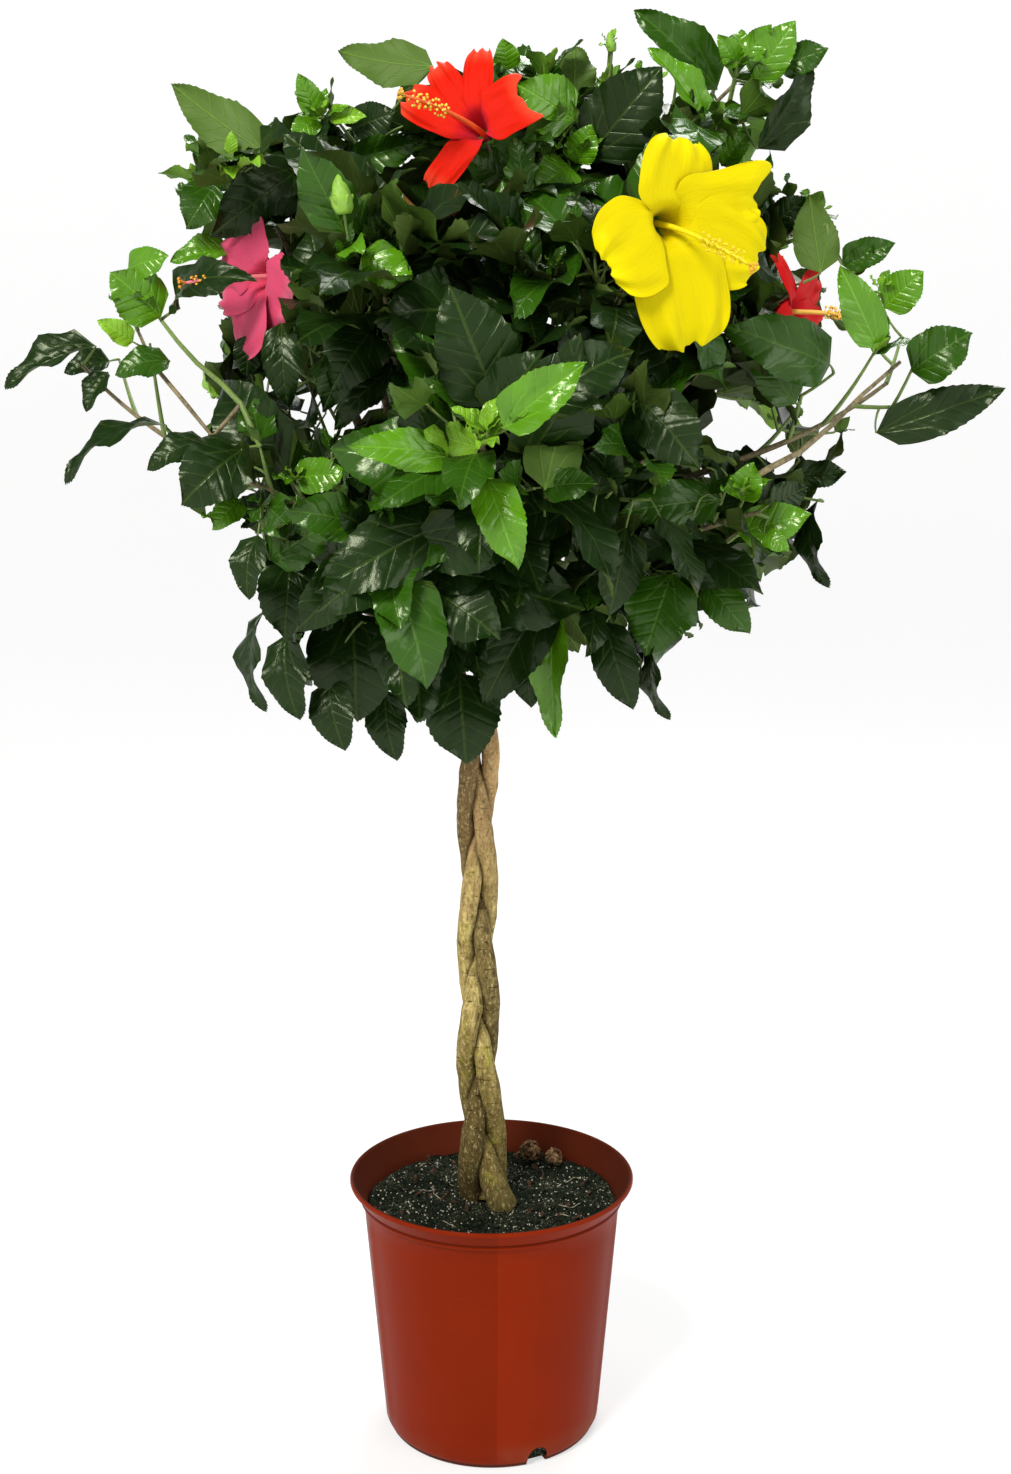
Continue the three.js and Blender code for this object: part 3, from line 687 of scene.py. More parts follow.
class Tree(Nodes):
    """A Geometry Nodes tree with named inputs."""

    def __init__(self, name, inputs):
        super().__init__(bpy.data.node_groups.new(name, "GeometryNodeTree"))
        face = self.tree.interface
        self.sockets = {}
        for label, kind in {"Geometry": "Geometry", **inputs, "Material": "Material"}.items():
            self.sockets[label] = face.new_socket(
                name=label, in_out="INPUT", socket_type=f"NodeSocket{kind}"
            )
        face.new_socket(name="Geometry", in_out="OUTPUT", socket_type="NodeSocketGeometry")
        self.group = self.tree.nodes.new("NodeGroupInput")

    def input(self, label):
        return Value(self, self.group.outputs[label])

    def attribute(self, name, kind):
        return self.node("GeometryNodeInputNamedAttribute", {"data_type": kind}, {"Name": name})

    def copies(self, points, shapes, placing):
        """Copies of the shapes of a collection, one at each point."""
        kinds = self.node(
            "GeometryNodeCollectionInfo",
            inputs={"Collection": self.input(shapes), "Separate Children": True, "Reset Children": True},
        )
        own = {"Points": points, "Instance": kinds, "Pick Instance": True}
        return self.node("GeometryNodeInstanceOnPoints", inputs={**own, **placing})

    def finish(self, geometry):
        """Ends the tree: realized, in its material."""
        real = self.node("GeometryNodeRealizeInstances", inputs={"Geometry": geometry})
        dressed = self.node(
            "GeometryNodeSetMaterial",
            inputs={"Geometry": real, "Material": self.input("Material")},
        )
        end = self.tree.nodes.new("NodeGroupOutput")
        self.feed(end.inputs["Geometry"], dressed)

    def grow(self, mesh, values):
        """Runs the tree on a mesh and returns the plain mesh that it makes."""
        holder = new_object("holder", mesh)
        modifier = holder.modifiers.new("growth", "NODES")
        modifier.node_group = self.tree
        for label, value in values.items():
            modifier[self.sockets[label].identifier] = value
        made = evaluated_mesh(holder)
        holder.modifiers.remove(modifier)
        bpy.data.objects.remove(holder)
        return made


def twig_tree():
    """Tubes along the mesh's edges, as thick as each point's own radius says."""
    tree = Tree("twigs", {"Sides": "Int"})
    line = tree.node("GeometryNodeMeshToCurve", inputs={"Mesh": tree.input("Geometry")})
    ring = tree.node(
        "GeometryNodeCurvePrimitiveCircle",
        inputs={"Resolution": tree.input("Sides"), "Radius": 1.0},
    )
    bar = tree.node(
        "GeometryNodeCurveToMesh",
        inputs={
            "Curve": line,
            "Profile Curve": ring,
            "Scale": tree.attribute("radius", "FLOAT"),
            "Fill Caps": True,
        },
    )
    tree.finish(bar)
    return tree


def spray_tree():
    """One blade of the named kind at each point, turned and sized by the point's attributes."""
    tree = Tree("sprays", {"Blades": "Collection", "Size": "Float"})
    size = tree.node(
        "ShaderNodeVectorMath",
        {"operation": "SCALE"},
        {"Vector": tree.attribute("size", "FLOAT_VECTOR"), "Scale": tree.input("Size")},
    )
    tree.finish(tree.copies(tree.input("Geometry"), "Blades", {
        "Instance Index": tree.attribute("blade", "INT"),
        "Rotation": tree.attribute("turn", "FLOAT_VECTOR"),
        "Scale": size,
    }))
    return tree


def scatter_tree():
    """Strews copies of the shapes over the faces, each with its own turn and size."""
    numbers = dict.fromkeys(("Density", "Apart", "Smallest", "Largest"), "Float")
    tree = Tree("litter", {"Shapes": "Collection", **numbers, "Seed": "Int"})
    strewn = tree.node(
        "GeometryNodeDistributePointsOnFaces",
        {"distribute_method": "POISSON"},
        {
            "Mesh": tree.input("Geometry"),
            "Distance Min": tree.input("Apart"),
            "Density Max": tree.input("Density"),
            "Seed": tree.input("Seed"),
        },
    )
    turn = tree.node(
        "FunctionNodeRandomValue",
        {"data_type": "FLOAT_VECTOR"},
        {0: (0, 0, 0), 1: (6.28, 6.28, 6.28), "Seed": tree.input("Seed")},
    )
    size = tree.node(
        "FunctionNodeRandomValue",
        {"data_type": "FLOAT"},
        {2: tree.input("Smallest"), 3: tree.input("Largest"), "Seed": tree.input("Seed")},
        output=1,
    )
    tree.finish(tree.copies(strewn, "Shapes", {"Rotation": turn, "Scale": size}))
    return tree


def shapes_in_collection(name, meshes):
    """A collection of objects, one for each mesh, for a tree to copy."""
    collection = bpy.data.collections.new(name)
    bpy.context.scene.collection.children.link(collection)
    for index, mesh in enumerate(meshes):
        shape = bpy.data.objects.new(f"{name}_{index:02d}", mesh)
        collection.objects.link(shape)
    return collection


def remove_collection(collection):
    for shape in list(collection.objects):
        bpy.data.objects.remove(shape)
    bpy.data.collections.remove(collection)


def twig_piece(name, lines, sides, material, slot):
    """A piece of many twigs. Each line is a list of (centre, radius) in millimetres."""
    points = []
    edges = []
    radii = []
    for line in lines:
        start = len(points)
        for centre, radius in line:
            points.append(tuple(centre * MM))
            radii.append(radius * MM)
        edges.extend((start + step, start + step + 1) for step in range(len(line) - 1))
    mesh = bpy.data.meshes.new("lines")
    mesh.from_pydata(points, edges, [])
    mesh.attributes.new("radius", "FLOAT", "POINT").data.foreach_set("value", radii)
    made = twig_tree().grow(mesh, {"Sides": sides, "Material": material})
    clean(made)
    finish_piece(new_piece(name, made, material), slot)


# Materials


class Surface(Nodes):
    """A material: a skin laid on in layers, its roughness and its relief."""

    def __init__(self, name, **constants):
        self.material = bpy.data.materials.new(name)
        self.material.use_nodes = True
        super().__init__(self.material.node_tree)
        self.shader = self.tree.nodes["Principled BSDF"]
        self.skin = None
        for label, value in constants.items():
            socket = label.replace("_", " ").title().replace("Ior", "IOR")
            self.shader.inputs[socket].default_value = value

    def clamp(self, value):
        return self.node("ShaderNodeClamp", inputs={"Value": value})

    def step(self, value, low, high):
        """0 below low, 1 above high and smooth between them."""
        return self.node(
            "ShaderNodeMapRange",
            {"interpolation_type": "SMOOTHSTEP"},
            {"Value": value, "From Min": low, "From Max": high},
        )

    def place(self):
        return self.node("ShaderNodeTexCoord", output=3)

    def stretched(self, vector, scale):
        return self.node("ShaderNodeMapping", inputs={"Vector": vector, "Scale": scale})

    def parts(self, vector):
        split = self.node("ShaderNodeSeparateXYZ", inputs={"Vector": vector}).socket.node
        return [Value(self, output) for output in split.outputs]

    def noise(self, vector, scale, detail=3.0, roughness=0.5, distortion=0.0):
        return self.node(
            "ShaderNodeTexNoise",
            inputs={
                "Vector": vector,
                "Scale": scale,
                "Detail": detail,
                "Roughness": roughness,
                "Distortion": distortion,
            },
        )

    def cells(self, vector, scale):
        return self.node("ShaderNodeTexVoronoi", inputs={"Vector": vector, "Scale": scale})

    def blend(self, share, first, second):
        """A colour between two colours."""
        return self.node(
            "ShaderNodeMix", {"data_type": "RGBA"}, {0: share, 6: first, 7: second}, output=2
        )

    def ramp(self, share, stops):
        return self.node("ShaderNodeValToRGB", {"stops": stops}, {"Fac": share})

    def begin(self, share, first, second):
        """The skin's ground, between two colours."""
        self.skin = self.blend(share, first, second)

    def layer(self, share, colour):
        """Lays a colour over the skin, as much as the share says."""
        self.skin = self.blend(share, self.skin, colour)

    def finish(self, roughness, height, depth, strength):
        """Feeds the shader. depth is the relief's size in metres."""
        relief = {"Strength": strength, "Distance": depth, "Height": height}
        self.feed(self.shader.inputs["Base Color"], self.skin)
        self.feed(self.shader.inputs["Roughness"], roughness)
        self.feed(self.shader.inputs["Normal"], self.node("ShaderNodeBump", inputs=relief))
        return self.material


def shade(colour, factor):
    """A colour made darker or lighter."""
    return tuple(min(part * factor, 1) for part in colour)


def toward(colour, other, share):
    return tuple(mix(first, second, share) for first, second in zip(colour, other))


def pot_plastic(colour):
    surface = Surface("pot plastic", specular_ior_level=0.05, specular_tint=(1.0, 0.4, 0.22, 1.0))
    place = surface.place()
    x, y, height = surface.parts(place)
    ledge = (POT_HEIGHT - LIP_HEIGHT) * MM
    body_slope = (BODY_TOP_RADIUS - BODY_BOTTOM_RADIUS) / (POT_HEIGHT - LIP_HEIGHT - FOOT_CHAMFER)
    body_middle = (height - FOOT_CHAMFER * MM) * body_slope + (BODY_BOTTOM_RADIUS - POT_WALL / 2) * MM
    lip_middle = (height - ledge) * 0.5 + (LIP_BOTTOM_RADIUS - 2.2) * MM
    in_lip = surface.step(height, ledge - 0.5 * MM, ledge + 0.5 * MM)
    wall_middle = body_middle + (lip_middle - body_middle) * in_lip
    radius = (x * x + y * y) ** 0.5
    inside = surface.step(wall_middle - radius, -0.3 * MM, 0.3 * MM)
    groove_shade = 1 - surface.step(abs(height - (ledge + 4 * MM)), 0.7 * MM, 2.0 * MM)
    cloud = surface.noise(place, 14.0, 4.0)
    scuffs = surface.step(
        surface.noise(surface.stretched(place, (30.0, 30.0, 160.0)), 3.0, 6.0, 0.7), 0.58, 0.78
    )
    grain = surface.noise(place, 900.0, 2.0)
    dust = surface.step(height, 0.03, 0.0) * surface.step(cloud, 0.4, 0.7)
    # The wall's tone is painted light and shade: each panel runs from lighter at one edge to darker at the
    # other, mixed with a cloudy tone that differs at random.
    round_place = surface.math("ARCTAN2", y, x) - FIRST_PANEL_ANGLE + 2 * math.pi
    panel = surface.math("FRACT", round_place * (PANEL_COUNT / (2 * math.pi)))
    tone = cloud * 0.55 + (1 - panel) * 0.45
    surface.begin(tone, shade(colour, 0.8), shade(colour, 1.18))
    surface.layer(scuffs * 0.14, toward(colour, (0.5, 0.2, 0.12), 0.5))
    surface.layer(dust * 0.35, (0.22, 0.12, 0.07))
    # Painted shade: the groove in the lip is painted dark.
    surface.layer(groove_shade * 0.6, shade(colour, 0.3))
    # The inside of the wall is painted darker: painted shade, with cloudy streaks of brown dirt.
    surface.layer(inside, surface.blend(cloud, shade(colour, 0.3), (0.09, 0.022, 0.01)))
    rough = 0.36 + cloud * 0.1 + scuffs * 0.12 + dust * 0.2 + inside * 0.2
    relief = grain * 0.35 + surface.noise(place, 40.0, 2.0) * 1.2 - scuffs * 0.1
    return surface.finish(rough, relief, 0.0003, 0.5)


def potting_soil(colour):
    surface = Surface("potting soil", specular_ior_level=0.05)
    place = surface.place()
    lumps = surface.noise(place, 160.0, 6.0, 0.7)
    crumbs = surface.cells(place, 420.0)
    fibres = surface.noise(surface.stretched(place, (300.0, 60.0, 200.0)), 2.0, 5.0, 0.7)
    # The soil's tone follows its relief: the hollows are painted darkest, a painted shade, over the
    # mottled tone of moist soil.
    surface.skin = surface.ramp(lumps, [
        (0.3, shade(colour, 0.3)), (0.52, colour),
        (0.66, (0.01, 0.017, 0.007)), (0.8, (0.07, 0.065, 0.035)),
    ])
    surface.layer(surface.step(fibres, 0.62, 0.75) * 0.5, (0.12, 0.085, 0.05))
    patch = surface.step(surface.noise(place, 24.0, 3.0), 0.42, 0.62)
    sand = surface.step(surface.noise(place, 900.0, 3.0, 0.7), 0.52, 0.62) * patch
    surface.layer(sand * 0.4, (0.22, 0.21, 0.14))
    specks = 1 - surface.step(surface.cells(place, 400.0), 0.14, 0.27)
    surface.layer(specks * (patch * 0.7 + 0.15), (0.5, 0.48, 0.36))
    relief = lumps * 1.4 + (1 - crumbs) * 0.6 + fibres * 0.3 + specks * 0.5
    return surface.finish(0.74 + lumps * 0.2, relief, 0.0022, 0.9)


def litter_surface(name, low, high, scale, rough, relief):
    """Perlite, bark chips, roots and curled scraps: a mottled dry surface."""
    surface = Surface(name, specular_ior_level=0.1)
    place = surface.place()
    mottle = surface.noise(place, scale, 5.0, 0.65)
    pores = surface.cells(place, scale * 2.5)
    surface.begin(surface.step(mottle, 0.32, 0.68), low, high)
    return surface.finish(rough, mottle + pores * 0.5, relief, 0.8)


BARK_PALE = (0.64, 0.5, 0.19)


def stem_bark(name, tan, olive, moss, darkness):
    """Tan and smooth near the crown, streaked olive lower down, mossy and cracked at the foot."""
    surface = Surface(name, specular_ior_level=0.06)
    place = surface.place()
    height = surface.parts(place)[2]
    along = surface.stretched(place, (1.0, 1.0, 0.2))
    streaks = surface.noise(along, 210.0, 4.0, 0.6)
    broad = surface.noise(along, 70.0, 3.0)
    mottle = surface.noise(place, 120.0, 6.0, 0.7)
    blotch = surface.noise(place, 45.0, 3.0)
    cracks = surface.noise(surface.stretched(place, (1.0, 1.0, 7.0)), 60.0, 5.0, 0.7, 0.6)
    pores = surface.cells(surface.stretched(place, (1.0, 1.0, 0.6)), 430.0)
    crevice = surface.node("ShaderNodeAttribute", {"attribute_name": "crevice"}, output=2)
    wander = (broad - 0.5) * 0.14
    upper = surface.step(height + wander, 0.44, 0.6)
    lower = 1 - surface.step(height + wander, 0.3, 0.42)
    foot = 1 - surface.step(height + wander * 0.4, 0.215, 0.265)
    khaki = toward(olive, BARK_PALE, 0.5)
    middle = surface.ramp(streaks * 0.7 + mottle * 0.3, [
        (0.36, shade(olive, 0.45)), (0.46, toward(olive, khaki, 0.5)), (0.54, khaki), (0.64, BARK_PALE),
    ])
    smooth = surface.ramp(broad, [
        (0.3, shade(tan, 0.62)), (0.5, tan), (0.7, shade(tan, 1.3)),
    ])
    surface.begin(upper, middle, smooth)
    surface.layer(lower * 0.7, surface.blend(blotch, shade(olive, 0.45), olive))
    mossy_place = surface.step(blotch, 0.52, 0.62) * (1 - upper)
    surface.layer(surface.step(mottle, 0.5, 0.56) * mossy_place * 0.6, moss)
    scars = surface.step(mottle, 0.63, 0.7) * (1 - upper)
    surface.layer(scars * 0.6, (0.62, 0.55, 0.16))
    split = surface.step(cracks, 0.6, 0.68) * (1 - upper * 0.7)
    surface.layer(split * 0.75, shade(olive, 0.25))
    dots = (1 - surface.step(pores, 0.1, 0.24)) * surface.step(broad, 0.38, 0.6)
    surface.layer(dots * 0.5, shade(tan, 0.34))
    surface.layer(foot * 0.5, (0.07, 0.06, 0.02))
    surface.layer(darkness, (0.05, 0.03, 0.012))
    fleck = surface.noise(surface.stretched(place, (1.0, 1.0, 0.5)), 460.0, 3.0, 0.65)
    surface.layer((1 - surface.step(fleck, 0.36, 0.46)) * 0.5, shade(olive, 0.25))
    surface.layer(surface.step(fleck, 0.56, 0.66) * 0.4, (0.7, 0.58, 0.28))
    # Painted shade: the bark is painted dark where the stems press together.
    surface.layer(crevice * 0.85, shade(olive, 0.1))
    relief = streaks * 0.7 + mottle * 0.7 - split * 1.4 - dots * 0.4 + scars * 0.3
    return surface.finish(0.58 + mottle * 0.22, relief, 0.0013, 0.9)


def limb_bark(name, low, high, rough):
    """Young bark on boughs and twigs: fine streaks and small pale pores."""
    surface = Surface(name, specular_ior_level=0.32)
    place = surface.place()
    streaks = surface.noise(place, 260.0, 4.0, 0.6)
    patches = surface.noise(place, 38.0, 3.0)
    pores = surface.step(surface.cells(place, 420.0), 0.2, 0.08)
    surface.begin(surface.step(streaks * 0.6 + patches * 0.4, 0.36, 0.64), low, high)
    surface.layer(pores * 0.45, shade(high, 1.7))
    return surface.finish(rough + streaks * 0.15, streaks + pores * 0.6, 0.0005, 0.7)


def leaf_surface(name, colour, rough, shine):
    """A quilted glossy blade with paler veins, and a dull olive underside with raised veins."""
    surface = Surface(name, specular_ior_level=shine, specular_tint=(0.9, 1.0, 0.7, 1.0))
    blade = surface.node("ShaderNodeUVMap", {"uv_map": "blade"})
    across, along = surface.parts(blade)[:2]
    under = surface.step(along, 0.4999, 0.5001)
    share = along * 2 - under
    side = abs(across - 0.5) * 2
    rib = 1 - surface.step(side, 0.01, 0.045)
    sweep = (share - side * VEIN_SWEEP) * (FINE.stations / 2)
    nearness = abs(surface.math("FRACT", sweep) - 0.5) * 2
    vein = surface.step(nearness, 0.88, 0.98) * surface.step(1 - side, 0.02, 0.3)
    first = abs(side - share * 0.95)
    base_vein = (1 - surface.step(first, 0.01, 0.04)) * (1 - surface.step(share, 0.35, 0.5))
    net = surface.clamp(rib + vein * 0.6 + base_vein * 0.7)
    place = surface.place()
    patch = surface.noise(place, 22.0, 2.0)
    fine = surface.noise(place, 420.0, 4.0, 0.6)
    quilt = surface.noise(place, 95.0, 3.0)
    surface.begin(patch, shade(colour, 0.7), shade(colour, 1.16))
    surface.layer(net * 0.32, toward(shade(colour, 2.0), (0.3, 0.42, 0.06), 0.16))
    below = toward(shade(colour, 1.5), (0.1, 0.15, 0.022), 0.5)
    below_skin = surface.blend(fine, shade(below, 0.8), below)
    surface.layer(under, surface.blend(net * 0.55, below_skin, shade(below, 1.7)))
    hollow = surface.step(nearness, 0.45, 1.0)
    bulge = quilt * 1.5 + fine * 0.14 - hollow * 0.4 - net * 0.4
    relief = bulge * (1 - under) + (net * 0.9 + fine * 0.2) * under
    roughness = (rough - 0.03 + fine * 0.08) * (1 - under) + under * 0.6
    return surface.finish(roughness, relief, 0.0008, 0.7)


def petal_surface(name, colour, throat, edge):
    """A satin petal: fine veins that run out from the throat, a stained throat and a paler edge."""
    surface = Surface(name, specular_ior_level=0.05, sheen_weight=0.02)
    blade = surface.node("ShaderNodeUVMap", {"uv_map": "blade"})
    across, along = surface.parts(blade)[:2]
    place = surface.place()
    fan = surface.node("ShaderNodeCombineXYZ", inputs={"X": across * 46.0, "Y": along * 2.2})
    veins = surface.noise(fan, 1.0, 3.0, 0.5)
    cloud = surface.noise(place, 36.0, 2.0)
    streaks = surface.step(veins, 0.55, 0.7) * (1 - surface.step(along, 0.3, 0.75))
    surface.begin(cloud * 0.5 + veins * 0.5, shade(colour, 0.82), shade(colour, 1.12))
    surface.layer(surface.step(along, 0.72, 1.0) * 0.4, edge)
    surface.layer((1 - surface.step(along, 0.08, 0.36)) * 0.9, throat)
    surface.layer(streaks * 0.5, throat)
    relief = veins + surface.noise(place, 240.0, 3.0) * 0.3
    return surface.finish(0.52 + cloud * 0.12, relief, 0.0006, 0.6)


def small_part_surface(name, low, high, scale, rough):
    """Anthers, stigma, column, calyx and buds: a fine mottled skin."""
    surface = Surface(name, specular_ior_level=0.35)
    place = surface.place()
    mottle = surface.noise(place, scale, 3.0, 0.6)
    surface.begin(mottle, low, high)
    return surface.finish(rough, mottle, 0.0004, 0.6)


def floor_paint():
    surface = Surface("pale floor", specular_ior_level=0.1, emission_strength=0.68)
    place = surface.place()
    x, y, height = surface.parts(place)
    far = surface.step((x * x + y * y) ** 0.5, 1.2, 4.5)
    glow = surface.blend(far, (0.8, 0.8, 0.8), (1, 1, 1))
    surface.feed(surface.shader.inputs["Emission Color"], glow)
    cloud = surface.noise(place, 0.8, 3.0)
    grain = surface.noise(place, 140.0, 3.0)
    surface.begin(cloud, (0.43, 0.43, 0.425), (0.46, 0.46, 0.455))
    return surface.finish(0.66 + grain * 0.1, grain, 0.0003, 0.3)


# Growth of the crown

# Where a side shoot leaves its main shoot, and its length as a share of that shoot's. The first
# two are those of the solids; the others grow between them.
SideShoot = namedtuple("SideShoot", "start length")
SIDE_SHOOTS = [SideShoot(*row) for row in [
    (0.28, 0.5), (0.58, 0.4), (0.1, 0.55), (0.42, 0.46), (0.72, 0.36), (0.87, 0.28),
]]
FLOWER_SIDE_SHOOTS = 3
SIDE_SHOOT_TURN = 2.6
SIDE_SHOOT_ANGLE = math.radians(51)
SIDE_SHOOT_LIFT = 0.25
SIDE_SHOOT_SAG = 0.08
SIDE_SHOOT_RADIUS = 2.2
SIDE_SHOOT_TIP_RADIUS = 1.1
TWIG_START = 0.45
TWIG_LENGTH = 0.6
TWIG_RADIUS = 1.5
SHORTEST_FORKED_SHOOT = 52
LEAF_SPACING = 12.5
ROSETTE_LEAVES = 6
INNER_TIP_LEAVES = 2
CROWN_MIDDLE = Vector((0, 10, 930))
CROWN_REACH = Vector((400, 330, 300))
OUTER_PART = 0.8
SHORTEST_SHOWN_SHARE = 0.05
TWIG_STEP = 14
DEPTH_COST = 0.16

# Gaps in the crown where the photograph shows sky: the middle and half the size, in its pixels
SKY_GAPS = [
    (735, 432, 34, 22), (772, 445, 16, 16), (716, 410, 14, 10), (851, 368, 14, 34), (818, 405, 16, 30),
    (796, 258, 12, 16), (311, 398, 8, 24), (216, 350, 9, 14), (296, 424, 8, 10), (206, 326, 9, 14),
    (724, 343, 18, 7), (196, 404, 13, 7), (184, 330, 8, 10), (244, 486, 14, 8), (673, 438, 9, 12),
    (829, 308, 8, 10), (732, 172, 12, 9), (666, 98, 5, 18), (395, 235, 9, 7), (411, 157, 10, 5),
    (874, 376, 7, 12), (334, 427, 7, 9), (779, 477, 9, 6), (719, 536, 8, 6), (150, 326, 7, 8),
    (267, 386, 7, 14), (376, 401, 8, 9), (352, 420, 9, 8), (355, 484, 5, 10), (896, 376, 10, 8),
    (661, 561, 5, 10), (306, 495, 5, 7), (449, 228, 7, 8), (722, 101, 4, 9), (170, 379, 5, 10),
    (484, 228, 8, 5), (702, 478, 8, 5), (563, 559, 6, 6), (704, 530, 4, 7), (591, 334, 5, 4),
    (326, 343, 4, 6), (310, 437, 4, 6),
]

# The photograph's outline of the crown, in its pixels. Leaves that grow by the rule stay inside.
CROWN_OUTLINE = [
    (185, 185), (215, 150), (285, 112), (330, 104), (395, 128), (425, 90), (470, 50), (520, 42),
    (600, 46), (663, 66), (700, 100), (745, 62), (768, 100), (768, 184), (806, 200), (842, 262),
    (885, 262), (895, 300), (880, 350), (890, 400), (846, 440), (846, 472), (815, 500),
    (790, 548), (749, 630), (690, 640), (633, 690), (600, 640), (553, 720), (497, 740), (420, 735),
    (380, 740), (345, 735), (305, 700), (285, 640), (255, 620), (250, 535), (215, 525), (185, 500),
    (182, 460), (225, 430), (205, 385), (160, 352), (150, 300), (190, 262),
]

